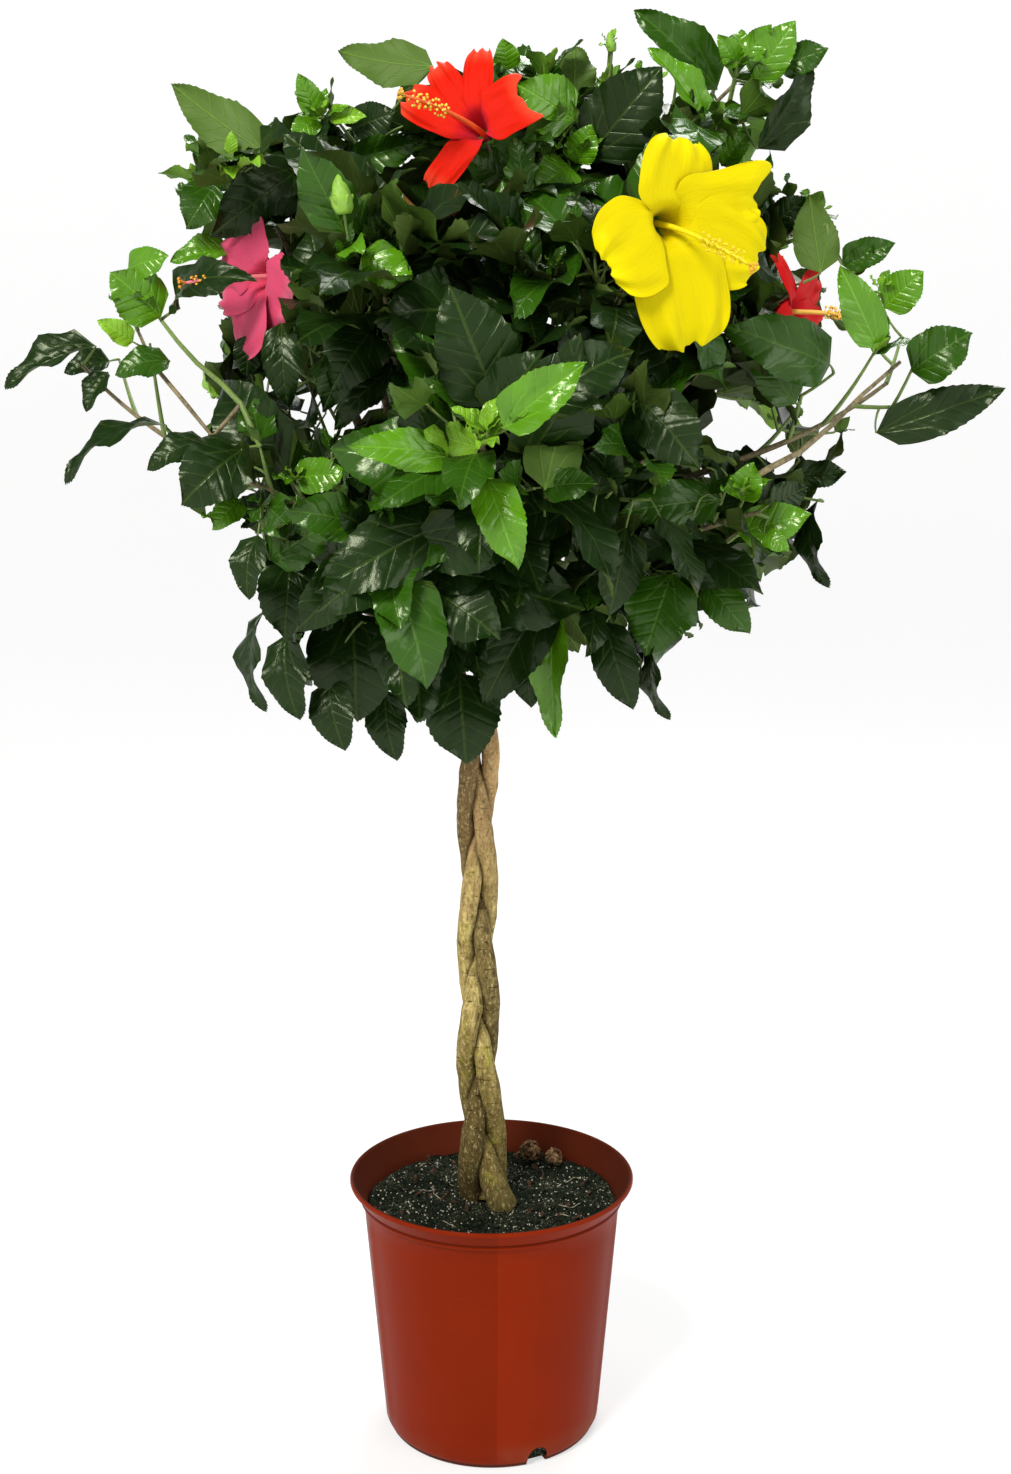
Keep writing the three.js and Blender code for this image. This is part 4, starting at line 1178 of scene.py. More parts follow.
# Leaves that stand out in the photograph, in its pixels: where the blade begins and ends and how
# wide it looks. roll turns the face about its rib and lean brings the tip nearer by that many
# millimetres. under shows the blade's underside.
Hero = namedtuple("Hero", "base tip width tone form roll lean under", defaults=(0, 12, False))
HERO_LEAVES = [Hero(*row) for row in [
    ((267, 154), (171, 84), 53, GREEN, ARCHED, 0, -12, True),
    ((433, 66), (338, 51), 50, GREEN, ARCHED, 15, -12, True), ((318, 118), (298, 73), 26, BRIGHT, ARCHED),
    ((330, 116), (367, 117), 20, YOUNG, FOLDED), ((320, 122), (325, 150), 22, DEEP, FOLDED, 30),
    ((316, 118), (291, 142), 26, BRIGHT, DROOPING), ((215, 185), (186, 229), 45, GREEN, DROOPING),
    ((220, 195), (187, 180), 26, BRIGHT, FOLDED), ((302, 167), (209, 236), 62, DEEP, DROOPING, -12, 34),
    ((309, 190), (236, 227), 46, DEEP, DROOPING, 20, 30),
    ((362, 252), (411, 280), 44, BRIGHT, WAVY, 0, 20), ((352, 130), (396, 112), 40, DEEP, ARCHED),
    ((353, 158), (424, 139), 34, GREEN, FOLDED, 25), ((513, 181), (458, 152), 42, GREEN, WAVY),
    ((574, 120), (517, 84), 60, BRIGHT, ARCHED, 0, 20), ((589, 158), (663, 66), 76, DEEP, ARCHED, 0, 16),
    ((574, 94), (575, 46), 50, GREEN, WAVY, 0, -14, True), ((508, 70), (503, 38), 34, BRIGHT, FOLDED),
    ((717, 89), (634, 10), 51, GREEN, FOLDED, 10), ((703, 121), (648, 48), 30, BRIGHT, FOLDED, 30),
    ((697, 115), (694, 80), 20, DEEP, FOLDED, 30), ((754, 82), (796, 20), 42, BRIGHT, ARCHED),
    ((775, 66), (829, 48), 34, GREEN, WAVY), ((758, 149), (810, 59), 36, DEEP, FOLDED, 40),
    ((722, 166), (752, 128), 26, BRIGHT, FOLDED), ((737, 66), (718, 34), 24, BRIGHT, FOLDED),
    ((740, 62), (772, 24), 26, BRIGHT, WAVY), ((576, 163), (592, 124), 34, BRIGHT, FOLDED),
    ((570, 166), (534, 194), 46, BRIGHT, DROOPING, 0, 22),
    ((597, 166), (645, 199), 34, GREEN, FOLDED, 35), ((768, 229), (806, 196), 34, DEEP, WAVY),
    ((821, 273), (809, 194), 46, GREEN, ARCHED, 0, -14, True),
    ((842, 265), (896, 243), 32, GREEN, FOLDED), ((128, 268), (169, 256), 32, BRIGHT, ARCHED),
    ((161, 317), (110, 272), 60, BRIGHT, ARCHED, 0, 14),
    ((180, 308), (257, 282), 46, DEEP, BENT_OVER, -20, 66), ((96, 346), (5, 389), 34, DEEP, FOLDED, 38),
    ((110, 361), (64, 373), 30, DEEP, FOLDED, 20), ((108, 372), (86, 412), 24, DEEP, FOLDED, 30),
    ((170, 361), (115, 375), 34, GREEN, DROOPING, 20), ((165, 425), (65, 484), 24, DEEP, DROOPING, 60),
    ((206, 441), (147, 470), 32, DEEP, DROOPING, 20), ((133, 342), (97, 320), 24, YOUNG, FOLDED),
    ((241, 450), (181, 505), 70, DEEP, DROOPING, 0, 24),
    ((296, 478), (348, 474), 38, BRIGHT, ARCHED, 0, 16), ((290, 474), (264, 420), 46, GREEN, ARCHED),
    ((876, 433), (1006, 388), 46, DEEP, ARCHED, 15, 16), ((912, 372), (973, 333), 54, GREEN, DROOPING),
    ((878, 349), (840, 265), 42, BRIGHT, ARCHED, 0, 14), ((884, 308), (924, 271), 42, BRIGHT, ARCHED),
    ((850, 272), (874, 244), 24, GREEN, FOLDED), ((830, 365), (722, 325), 62, GREEN, DROOPING, -10, 28),
    ((796, 404), (746, 342), 42, GREEN, ARCHED), ((795, 475), (847, 472), 30, DEEP, WAVY),
    ((818, 500), (829, 588), 20, DEEP, DROOPING, 62), ((738, 534), (812, 514), 44, BRIGHT, ARCHED, 0, 16),
    ((741, 500), (754, 462), 36, BRIGHT, FOLDED), ((764, 534), (789, 552), 22, BRIGHT, DROOPING),
    ((497, 408), (449, 285), 87, DEEP, ARCHED, 0, 10),
    ((504, 428), (587, 362), 52, BRIGHT, FOLDED, 0, 16),
    ((456, 456), (348, 446), 44, BRIGHT, ARCHED, 0, 26), ((480, 448), (424, 430), 36, YOUNG, WAVY, 0, 22),
    ((545, 489), (566, 394), 59, GREEN, ARCHED, 0, -12, True),
    ((486, 479), (518, 570), 50, BRIGHT, DROOPING, 0, 18),
    ((490, 462), (519, 560), 22, YOUNG, TWISTED, 40, 20),
    ((454, 520), (314, 592), 78, DEEP, ARCHED, 0, 36),
    ((352, 612), (357, 722), 95, DEEP, DROOPING, 0, 18), ((287, 634), (300, 720), 42, DEEP, DROOPING, 30),
    ((329, 680), (345, 751), 44, DEEP, DROOPING, 20), ((385, 690), (397, 761), 40, DEEP, DROOPING, 20),
    ((459, 673), (466, 765), 78, DEEP, DROOPING, 0, 20),
    ((548, 596), (482, 708), 62, DEEP, DROOPING, 0, 18), ((258, 535), (249, 600), 34, DEEP, DROOPING, 30),
    ((265, 610), (266, 712), 18, DEEP, DROOPING, 66), ((290, 560), (284, 640), 60, DEEP, DROOPING, 0, 20),
    ((672, 574), (645, 656), 70, GREEN, LOBED, 0, 18), ((706, 582), (750, 634), 40, GREEN, DROOPING, 10),
    ((606, 622), (633, 710), 45, DEEP, DROOPING, 12), ((657, 640), (670, 720), 16, DEEP, DROOPING, 68),
    ((556, 589), (556, 738), 42, BRIGHT, FOLDED, 20, 14),
    ((720, 500), (618, 514), 50, GREEN, ARCHED, 0, 22),
    ((600, 484), (576, 552), 56, DEEP, DROOPING, 0, 16), ((528, 640), (531, 708), 40, DEEP, DROOPING, 10),
    ((240, 500), (212, 530), 30, BRIGHT, DROOPING, 0, 20),
    ((230, 250), (170, 262), 30, BRIGHT, FOLDED, 20), ((400, 268), (452, 300), 50, DEEP, DROOPING, 0, 20),
    ((372, 330), (330, 392), 62, DEEP, DROOPING, 0, 20),
    ((640, 400), (700, 470), 66, DEEP, DROOPING, 0, 20), ((270, 560), (330, 520), 50, GREEN, WAVY, 0, 20),
    ((430, 590), (500, 640), 70, DEEP, DROOPING, 0, 26),
    ((600, 540), (650, 480), 50, DEEP, ARCHED, 0, 14),
    ((282, 322), (288, 408), 40, DEEP, DROOPING, 10, 10),
    ((350, 340), (322, 412), 40, DEEP, DROOPING, -10, 10),
    ((398, 366), (334, 430), 36, DEEP, DROOPING, 10, 14),
    ((250, 334), (246, 378), 30, DEEP, ARCHED, 0, -10),
]]

# Rosettes of small young leaves at the shoot tips that show: centre and reach in pixels
Rosette = namedtuple("Rosette", "centre reach tone leaves")
ROSETTES = [Rosette(*row) for row in [
    ((321, 118), 34, BRIGHT, 7), ((737, 64), 30, BRIGHT, 6), ((486, 436), 44, YOUNG, 9),
    ((576, 150), 30, BRIGHT, 6), ((128, 300), 28, BRIGHT, 6), ((742, 492), 28, BRIGHT, 6),
    ((298, 480), 26, BRIGHT, 5), ((226, 520), 24, BRIGHT, 5), ((610, 44), 16, YOUNG, 5),
    ((556, 268), 24, GREEN, 5), ((880, 290), 22, BRIGHT, 5),
]]

# Twigs that show against the sky or in front of the leaves, as pixels from their tip to their foot
ShownTwig = namedtuple("ShownTwig", "path tip_width foot_width green")
SHOWN_TWIGS = [
    ShownTwig([(161, 320), (178, 342), (197, 363), (221, 383), (241, 404)], 4, 6, True),
    ShownTwig([(138, 331), (147, 351), (156, 368), (186, 404), (213, 437)], 3.5, 5, False),
    ShownTwig([(900, 362), (862, 395), (832, 425), (800, 452), (766, 470)], 4, 7, False),
    ShownTwig([(738, 532), (712, 553), (681, 575), (640, 590)], 3.5, 5, False),
    ShownTwig([(735, 80), (728, 110), (720, 150), (712, 180)], 4, 6, True),
    ShownTwig([(545, 489), (544, 537), (549, 565), (551, 592)], 3, 3.5, True),
    ShownTwig([(490, 462), (498, 500), (500, 530)], 4, 5, True),
]

# Points round a blade, as shares of its length and of its width. The fifth is the tip.
BLADE_ROUND = [
    (0.02, 0), (0.2, 0.4), (0.42, 0.48), (0.7, 0.32), (1, 0), (0.7, -0.32), (0.42, -0.48), (0.2, -0.4),
]
TIP_POINT = 4
BLADE_MIDDLE = 0.42
LOWEST_LEAF = 560
BOX_MARGIN = 0.004
FAR = 1e9
# How far before something shown a leaf may stand, and the room that each flower keeps: behind and
# before its throat, and beside it as a share of its radius
SHOWN_MARGIN = 4
BLOOM_MARGIN = 16
BLOOM_BEHIND = 6
BLOOM_BEFORE = 75
BLOOM_BESIDE = 0.95
# How far before the limb that carries it a leaf or a rosette placed by the photograph stands
LEAF_BEFORE_LIMB = 6
ROSETTE_BEFORE_LIMB = 8
# The light above which a leaf is bright or green, and the age below which an outer leaf is young
BRIGHT_LIGHT = 1.08
GREEN_LIGHT = 0.62
YOUNG_AGE = 0.08
# The sizes and the turns aside that a leaf is tried with where there is little room
TRIED_SIZES = (1, 0.84, 0.68)
TRIED_TURNS = (0, 0.5, -0.5, 1)
Twig = namedtuple("Twig", "line green")
LEAF_PARTS = "root rib face length width tone form stalk fine"


class Leaf(namedtuple("Leaf", LEAF_PARTS, defaults=(False,))):
    """A blade: its foot, the ways of its rib and face, its size, looks and stalk."""

    def at(self, share):
        return self.root + self.rib * self.length * share

    def outline(self):
        """The arched blade's outline in space, as a few points round it."""
        side = self.rib.cross(self.face) * self.width * 0.9
        arch = self.face * self.length * math.radians(FORMS[self.form].bend) / 2
        return [
            self.at(share) + arch * share * (1 - share) + side * half for share, half in BLADE_ROUND
        ]


def side_shoot(parent, start, turn, share, radius):
    """A shoot that leaves its parent's side, rises a little and sags in the middle."""
    foot = parent.at(start)
    axis = parent.axis(start)
    way = turned(axis, square_to(axis, turn), SIDE_SHOOT_ANGLE) + UP * SIDE_SHOOT_LIFT
    length = parent.length() * share
    tip = foot + way.normalized() * length
    middle = foot.lerp(tip, 0.5) - UP * SIDE_SHOOT_SAG * length
    line = lambda place: bezier((foot, middle, tip), place)
    return Shoot(line, radius, SIDE_SHOOT_TIP_RADIUS, parent, start)


def leaf_way(shoot, age, turn, hang):
    """The foot of a leaf's stalk on its shoot, and the ways of the stalk, the rib and the face."""
    share = mix(1, OLDEST_LEAF_PLACE, age)
    angle = mix(YOUNG_LEAF_ANGLE, OLD_LEAF_ANGLE, math.sqrt(age))
    axis = shoot.axis(share)
    radial = square_to(axis, turn)
    stalk = turned(axis, radial, angle).normalized()
    rib = (stalk - UP * (LEAF_DROOP * age + hang)).normalized()
    face = axis * math.sin(angle) - radial * math.cos(angle) + UP * LEAF_FACE_LIFT
    return shoot.at(share), stalk, rib, squared(face, rib)


def outward_share(point):
    """How far out in the crown a point lies: 0 in its middle and 1 at its outside."""
    reach = point - CROWN_MIDDLE
    return Vector([value / most for value, most in zip(reach, CROWN_REACH)]).length


def inside_outline(across, down, outline):
    inside = False
    for index, (corner_across, corner_down) in enumerate(outline):
        last_across, last_down = outline[index - 1]
        if (corner_down > down) != (last_down > down):
            slope = (last_across - corner_across) / (last_down - corner_down)
            if across < corner_across + slope * (down - corner_down):
                inside = not inside
    return inside


class Crown:
    """Every shoot, twig and leaf of the crown, grown once for all the pieces."""

    CELL = 5

    def __init__(self, sizes):
        self.leaf_length = sizes.leaf_length / MM
        self.width_share = sizes.leaf_width_share
        self.apart = sizes.leaves_apart / MM
        self.leaves = []
        self.twigs = []
        self.stalks = []
        self.middles = []
        self.shown_depth = {}
        self.bloom_depth = {}
        self.mains = {mass.name: main_shoot(mass) for mass in MASSES}
        self.segments = [(name, main.at(0), main.at(1)) for name, main in self.mains.items()]
        self.shoots = {mass.name: self.shoots_of(mass) for mass in MASSES}
        self.limbs = self.limb_tree()
        self.carriers = self.carrier_points()
        self.note_blooms()
        for shown in SHOWN_TWIGS:
            self.show_twig(shown)
        for rosette in ROSETTES:
            self.show_rosette(rosette)
        for hero in HERO_LEAVES:
            self.show_leaf(hero)
        for mass in MASSES:
            self.grow_mass(mass)
        for mass in MASSES:
            if mass.name in BLOOMS:
                self.mains[mass.name].use(1)
            self.lay_twigs(mass)

    def shoots_of(self, mass):
        """The main shoot, its side shoots and their twigs, each with the turn of its first leaf."""
        number = MASSES.index(mass)
        random = SeededRandom(FIRST_SEED + number * SEED_STEP)
        main = self.mains[mass.name]
        shoots = [(main, number, mass.leaves)]
        wanted = SIDE_SHOOTS[:FLOWER_SIDE_SHOOTS] if mass.name in BLOOMS else SIDE_SHOOTS
        for index, side in enumerate(wanted):
            turn = number + 1 + index * SIDE_SHOOT_TURN + 0.5 * random()
            shoot = side_shoot(main, side.start, turn, side.length, SIDE_SHOOT_RADIUS)
            shoots.append((shoot, turn, max(5, round(shoot.length() / LEAF_SPACING))))
            if shoot.length() > SHORTEST_FORKED_SHOOT:
                turn += SIDE_SHOOT_TURN
                twig = side_shoot(shoot, TWIG_START, turn, TWIG_LENGTH, TWIG_RADIUS)
                shoots.append((twig, turn, max(4, round(twig.length() / LEAF_SPACING))))
        return shoots

    def lay_twigs(self, mass):
        """Each shoot becomes a twig as far as its furthest leaf."""
        for shoot, turn, leaves in self.shoots[mass.name]:
            if shoot.used < SHORTEST_SHOWN_SHARE:
                continue
            steps = max(3, round(shoot.length() * shoot.used / TWIG_STEP))
            places = [shoot.used * step / steps for step in range(steps + 1)]
            line = [(shoot.at(place), shoot.radius(place)) for place in places]
            self.twigs.append(Twig(line, shoot is not self.mains[mass.name]))

    def limb_tree(self):
        """Points along the leaders and boughs, so that a leaf can keep clear of them."""
        places = [
            stem_point(stem, mix(FIRST_FORK - 60, tip.z, share))
            for stem, tip in enumerate(LEADER_TIPS) for share in shares(39)
        ]
        places += [bough_of(mass).at(share) for mass in MASSES for share in shares(24)]
        tree = KDTree(len(places))
        for index, place in enumerate(places):
            tree.insert(place, index)
        tree.balance()
        return tree

    def carrier_points(self):
        """Points along all shoots and boughs with their pixels, for leaves placed by the photo."""
        points = []
        for mass in MASSES:
            for shoot, turn, leaves in self.shoots[mass.name]:
                for share in shares(10):
                    points.append((shoot.at(share), to_pixel(shoot.at(share)), shoot, share))
            for step in range(4, 9):
                place = bough_of(mass).at(step / 8)
                points.append((place, to_pixel(place), None, 0))
        return points

    def carrier_of(self, across, down):
        """The shoot's point that best carries a leaf at a pixel: near it, and towards the camera."""

        def cost(candidate):
            point, (x, y, forward), shoot, share = candidate
            return math.hypot(x - across, y - down) + DEPTH_COST * point.y

        point, pixel, shoot, share = min(self.carriers, key=cost)
        if shoot:
            shoot.use(share)
        return point

    def cell_middle(self, column, row):
        return (column + 0.5) * self.CELL, (row + 0.5) * self.CELL

    def note_patch(self, corners, forward, depths):
        """Marks the cells inside a patch of the photograph as shown at that depth."""
        columns, rows = [
            range(int(min(ways) // self.CELL), int(max(ways) // self.CELL) + 1) for ways in zip(*corners)
        ]
        for cell in [(column, row) for column in columns for row in rows]:
            if inside_outline(*self.cell_middle(*cell), corners):
                depths[cell] = min(forward, depths.get(cell, FAR))

    def stalk_between(self, foot, root, way, thickness):
        """A leaf's stalk: it leaves the shoot and bends into the blade's rib."""
        reach = (root - foot).length
        middle = foot.lerp(root, 0.55) - way * reach * 0.16 + UP * reach * 0.06
        return [
            (bezier((foot, middle, root), share), mix(thickness * 1.35, thickness * 0.8, share))
            for share in shares(4 if reach < 45 else 7)
        ]

    def add_leaf(self, leaf):
        self.leaves.append(leaf)
        self.middles.append(leaf.at(BLADE_MIDDLE))
        self.stalks.append(leaf.stalk)

    def show_twig(self, shown):
        """A twig along its pixels, at depths between those of the limbs behind its two ends."""
        carrier = self.carrier_of(*shown.path[-1])
        tip_depth = self.carrier_of(*shown.path[0]).y
        line = []
        for step, (across, down) in enumerate(shown.path):
            share = step / (len(shown.path) - 1)
            point = from_pixel(across, down, mix(tip_depth, carrier.y, share))
            forward = to_pixel(point)[2]
            width = mix(shown.tip_width, shown.foot_width, share) / FOCAL_PIXELS * forward
            line.append((point, width / 2))
            left, right, top, bottom = across - 5, across + 5, down - 5, down + 5
            patch = [(left, top), (right, top), (right, bottom), (left, bottom)]
            self.note_patch(patch, forward, self.shown_depth)
            self.carriers.append((point, (across, down, forward), None, 0))
        line.append((carrier, line[-1][1]))
        self.twigs.append(Twig(line, shown.green))

    def show_leaf(self, hero):
        """A leaf at its pixels, a little before the limb that carries it."""
        carrier = self.carrier_of(*hero.base)
        depth = carrier.y - LEAF_BEFORE_LIMB
        root = from_pixel(*hero.base, depth)
        tip = from_pixel(*hero.tip, depth - hero.lean)
        length = (tip - root).length
        forward = to_pixel(root.lerp(tip, 0.5))[2]
        rib = (tip - root).normalized()
        roll = math.radians(hero.roll)
        toward_camera = (CAMERA_PLACE - root).normalized()
        face = Quaternion(rib, roll) @ squared(toward_camera + UP * 0.25, rib)
        look = max(math.cos(roll), 0.35)
        width = min(hero.width / FOCAL_PIXELS * forward / look, length * 0.86)
        stalk = self.stalk_between(carrier, root, rib, mix(0.75, 1.1, min(length / 90, 1)))
        face = -face if hero.under else face
        leaf = Leaf(root, rib, face, length, width, hero.tone, hero.form, stalk, True)
        self.add_leaf(leaf)
        self.note_patch([to_pixel(point)[:2] for point in leaf.outline()], forward, self.shown_depth)

    def show_rosette(self, rosette):
        """Small leaves round a shoot's tip at its pixel, turned up and towards the camera."""
        across, down = rosette.centre
        carrier = self.carrier_of(across, down)
        centre = from_pixel(across, down, carrier.y - ROSETTE_BEFORE_LIMB)
        scale = to_pixel(centre)[2] / FOCAL_PIXELS
        random = SeededRandom(int(across * 31 + down))
        middle = centre.lerp(carrier, 0.5) - UP * 2
        self.twigs.append(Twig([(centre, 1.2), (middle, 1.5), (carrier, 1.8)], True))
        axis = (UP + (CAMERA_PLACE - centre).normalized() * 0.7).normalized()
        for index in range(rosette.leaves):
            radial = square_to(axis, index * GOLDEN_ANGLE + random())
            spread = mix(0.35, 1.25, (index + 0.5) / rosette.leaves)
            rib = turned(axis, radial, spread).normalized()
            length = rosette.reach * scale * mix(0.55, 1.1, index / rosette.leaves)
            tone = YOUNG if index < 3 else rosette.tone
            form = (FOLDED, WAVY, ARCHED)[index % 3]
            root = centre + rib * 3
            width = length * random.between(0.42, 0.6)
            stalk = [(centre, 0.8), (root, 0.7)]
            self.add_leaf(Leaf(root, rib, squared(axis, rib), length, width, tone, form, stalk))
        reach = rosette.reach * 0.8
        corners = [
            (across + reach * math.cos(turn), down + reach * math.sin(turn)) for turn in round_turns(10)
        ]
        self.note_patch(corners, to_pixel(centre)[2], self.shown_depth)

    def note_blooms(self):
        """Keeps the view of the flowers open."""
        for flower in FLOWERS:
            for petal, petal_frame in zip(flower.petals, petal_frames(flower)):
                seen = [to_pixel(petal_place(flower, petal, petal_frame, *at)) for at in PETAL_PATCH]
                depth = max(forward for across, down, forward in seen)
                self.note_patch([place[:2] for place in seen], depth, self.bloom_depth)

    def hides_something(self, points):
        """How many of a leaf's points would stand before what the photograph shows there."""
        hidden = 0
        for across, down, forward in map(to_pixel, points):
            cell = (int(across // self.CELL), int(down // self.CELL))
            hidden += forward < self.shown_depth.get(cell, -FAR) - SHOWN_MARGIN
        return hidden

    def hides_bloom(self, outline):
        """True where a leaf would stand before a flower."""
        ways, drops, depths = zip(*map(to_pixel, outline))
        nearest = sum(depths) / len(depths) - BLOOM_MARGIN
        left, right = min(ways) / self.CELL - 1, max(ways) / self.CELL
        top, bottom = min(drops) / self.CELL - 1, max(drops) / self.CELL
        pixels = list(zip(ways, drops))
        return any(
            left < column < right and top < row < bottom and nearest < depth
            and inside_outline(*self.cell_middle(column, row), pixels)
            for (column, row), depth in self.bloom_depth.items()
        )

    def fills_gap(self, points):
        """True where a leaf would close one of the gaps that show the sky."""
        pixels = [to_pixel(point)[:2] for point in points]
        for gap_across, gap_down, half_width, half_height in SKY_GAPS:
            for across, down in pixels:
                if math.hypot((across - gap_across) / half_width, (down - gap_down) / half_height) < 1:
                    return True
            if inside_outline(gap_across, gap_down, pixels[:len(BLADE_ROUND)]):
                return True
        return False

    def crosses_bloom(self, points):
        """True where a point lies among a flower's petals or in its tube."""
        for flower in FLOWERS:
            for point in points:
                reach = point - flower.throat
                ahead = reach.dot(flower.facing)
                aside = (reach - flower.facing * ahead).length
                if -BLOOM_BEHIND < ahead < BLOOM_BEFORE and aside < flower.radius * BLOOM_BESIDE:
                    return True
                if -0.6 * flower.radius < ahead <= -BLOOM_BEHIND and aside < 16 + ahead * 0.1:
                    return True
        return False

    def outside_space(self, point, mass):
        """How much farther a point is from its own main shoot than from the nearest other."""
        distances = {}
        for name, low, high in self.segments:
            along = high - low
            share = min(max((point - low).dot(along) / along.length_squared, 0), 1)
            distances[name] = (low + along * share - point).length
        return distances.pop(mass.name) - min(distances.values())

    def fits(self, leaf, mass):
        """True where a leaf has room, clear of the limbs, and covers nothing that shows."""
        outline = leaf.outline()
        middle = leaf.at(BLADE_MIDDLE)
        tip = outline[TIP_POINT]
        if tip.z < LOWEST_LEAF or self.outside_space(middle, mass) > SPACE_OVERLAP * 2:
            return False
        clear = BOUGH_RADIUS + LIMB_MARGIN + leaf.width * 0.12
        if any(self.limbs.find(leaf.at(share))[2] < clear for share in (0.05, 0.35, 0.7)):
            return False
        for low, high, value in zip(CAD_LOW, CAD_HIGH, tip):
            if value * MM < low - BOX_MARGIN or value * MM > high + BOX_MARGIN:
                return False
        if self.crosses_bloom(outline):
            return False
        if not all(inside_outline(*to_pixel(point)[:2], CROWN_OUTLINE) for point in outline):
            return False
        inner = [leaf.at(share) for share in (0.2, 0.7, 0.86, 0.94)]
        if self.hides_something(outline + inner + [middle]) > 1 or self.fills_gap(outline + [middle]):
            return False
        if any((other - middle).length < self.apart for other in self.middles):
            return False
        return not self.hides_bloom(outline)

    def grow_mass(self, mass):
        random = SeededRandom(FIRST_SEED + MASSES.index(mass) * SEED_STEP + 7)
        for shoot, first_turn, count in self.shoots[mass.name]:
            for index in range(count):
                age = min((index + AGE_START + AGE_SCATTER * random()) / count, 1)
                turn = first_turn + index * GOLDEN_ANGLE + TURN_SCATTER * (random() - 0.5)
                self.grow_leaf(mass, shoot, age, turn, random)
            self.grow_tip(mass, shoot, first_turn, random)

    def grow_leaf(self, mass, shoot, age, turn, random):
        """A leaf of the spiral. Where there is no room it is tried smaller and turned aside."""
        young = smoothstep(0, FULL_GROWN_AGE, age)
        full = self.leaf_length * random.between(0.78, 1.1)
        share = mix(1, OLDEST_LEAF_PLACE, age)
        outward = outward_share(shoot.at(share))
        # A leaf's tone is partly its age and partly painted light and shade: leaves at the outside and the
        # top of the crown get brighter tones, those inside deeper ones.
        light = random() * 0.62 + 0.5 * (1 - age) + 0.9 * (outward - OUTER_PART)
        light += 0.34 * max(mass.height - 850, 0) / 300
        form_draw = random()
        width_draw = random.between(0.86, 1.14)
        tone = BRIGHT if light > BRIGHT_LIGHT else GREEN if light > GREEN_LIGHT else DEEP
        if age < YOUNG_AGE and outward > OUTER_PART:
            tone = YOUNG
        form = COMMON_FORMS[int(form_draw * (len(COMMON_FORMS) - 0.01))]
        for size in TRIED_SIZES:
            for aside in TRIED_TURNS:
                foot, stalk, rib, face = leaf_way(shoot, age, turn + aside, mass.hang)
                length = full * mix(YOUNG_LEAF_SHARE, 1, young) * size
                way = (stalk * 0.8 + rib * 0.2).normalized()
                root = foot + way * mix(YOUNG_PETIOLE, PETIOLE, young) * size
                width = length * self.width_share * width_draw
                line = self.stalk_between(foot, root, rib, mix(0.7, 1.05, young))
                leaf = Leaf(root, rib, face, length, width, tone, form, line)
                if self.fits(leaf, mass):
                    self.add_leaf(leaf)
                    shoot.use(share)
                    return

    def grow_tip(self, mass, shoot, first_turn, random):
        """A few small young leaves round a shoot's tip, most of them where it is light."""
        if mass.name in BLOOMS and shoot is self.mains[mass.name]:
            return
        tip = shoot.at(1)
        if not inside_outline(*to_pixel(tip)[:2], CROWN_OUTLINE) or self.crosses_bloom([tip]):
            return
        axis = (shoot.axis(1) + UP * 0.5).normalized()
        outer = outward_share(tip) > OUTER_PART
        for index in range(ROSETTE_LEAVES if outer else INNER_TIP_LEAVES):
            spread = mix(0.3, 1.05, (index + random()) / ROSETTE_LEAVES)
            radial = square_to(axis, first_turn + index * GOLDEN_ANGLE)
            rib = turned(axis, radial, spread).normalized()
            length = mix(16, 48, (index + 0.5) / ROSETTE_LEAVES) * random.between(0.8, 1.2)
            root = tip + rib * 2
            # Inner tips keep the green tone: painted shade inside the crown.
            tone = (YOUNG, YOUNG, BRIGHT, BRIGHT, GREEN, GREEN)[index] if outer else GREEN
            form = (FOLDED, ARCHED, WAVY)[index % 3]
            stalk = [(tip, 0.8), (root, 0.6)]
            leaf = Leaf(root, rib, squared(axis, rib), length, length * 0.55, tone, form, stalk)
            outline = leaf.outline()
            if self.hides_something(outline) > 1 or self.fills_gap(outline) or self.hides_bloom(outline):
                continue
            self.add_leaf(leaf)
            shoot.use(1)


GROWN = {}


def grown_crown(context):
    """The crown, grown by the first operator that needs it."""
    if "crown" not in GROWN:
        GROWN["crown"] = Crown(context.scene.hibiscus_sizes)
    return GROWN["crown"]


# Leaf blades

# How finely a blade is cut: stations along its rib, points of the margin for each, and the places
# of its rows across, from the rib to the margin. A vein runs to every second station of the fine
# blade, and the surface between the veins stands up a little.
Fineness = namedtuple("Fineness", "stations margin_steps rows quilt")
PLAIN = Fineness(5, 4, (0.5,), 0.0)
FINE = Fineness(14, 2, (0.3, 0.64), 0.013)
BLADE_THICKNESS = 0.006
WIDEST_PLACE = 0.39
TOOTH_OUT = 0.017
TOOTH_IN = 0.012
FIRST_TOOTH = 0.18
VEIN_SWEEP = 0.3
BLADE_SPAN = 0.8


def blade_half_width(share, lobe):
    """Half the width of a blade of unit width: rounded at the foot, pointed at the tip."""
    if share <= 0 or share >= 1:
        return 0
    if share < WIDEST_PLACE:
        body = (1 - (1 - share / WIDEST_PLACE) ** 2.4) ** 0.55
    else:
        body = 1 - ((share - WIDEST_PLACE) / (1 - WIDEST_PLACE)) ** 2.05
    lobes = lobe * math.exp(-(((share - 0.45) / 0.09) ** 2))
    return 0.5 * body + lobes


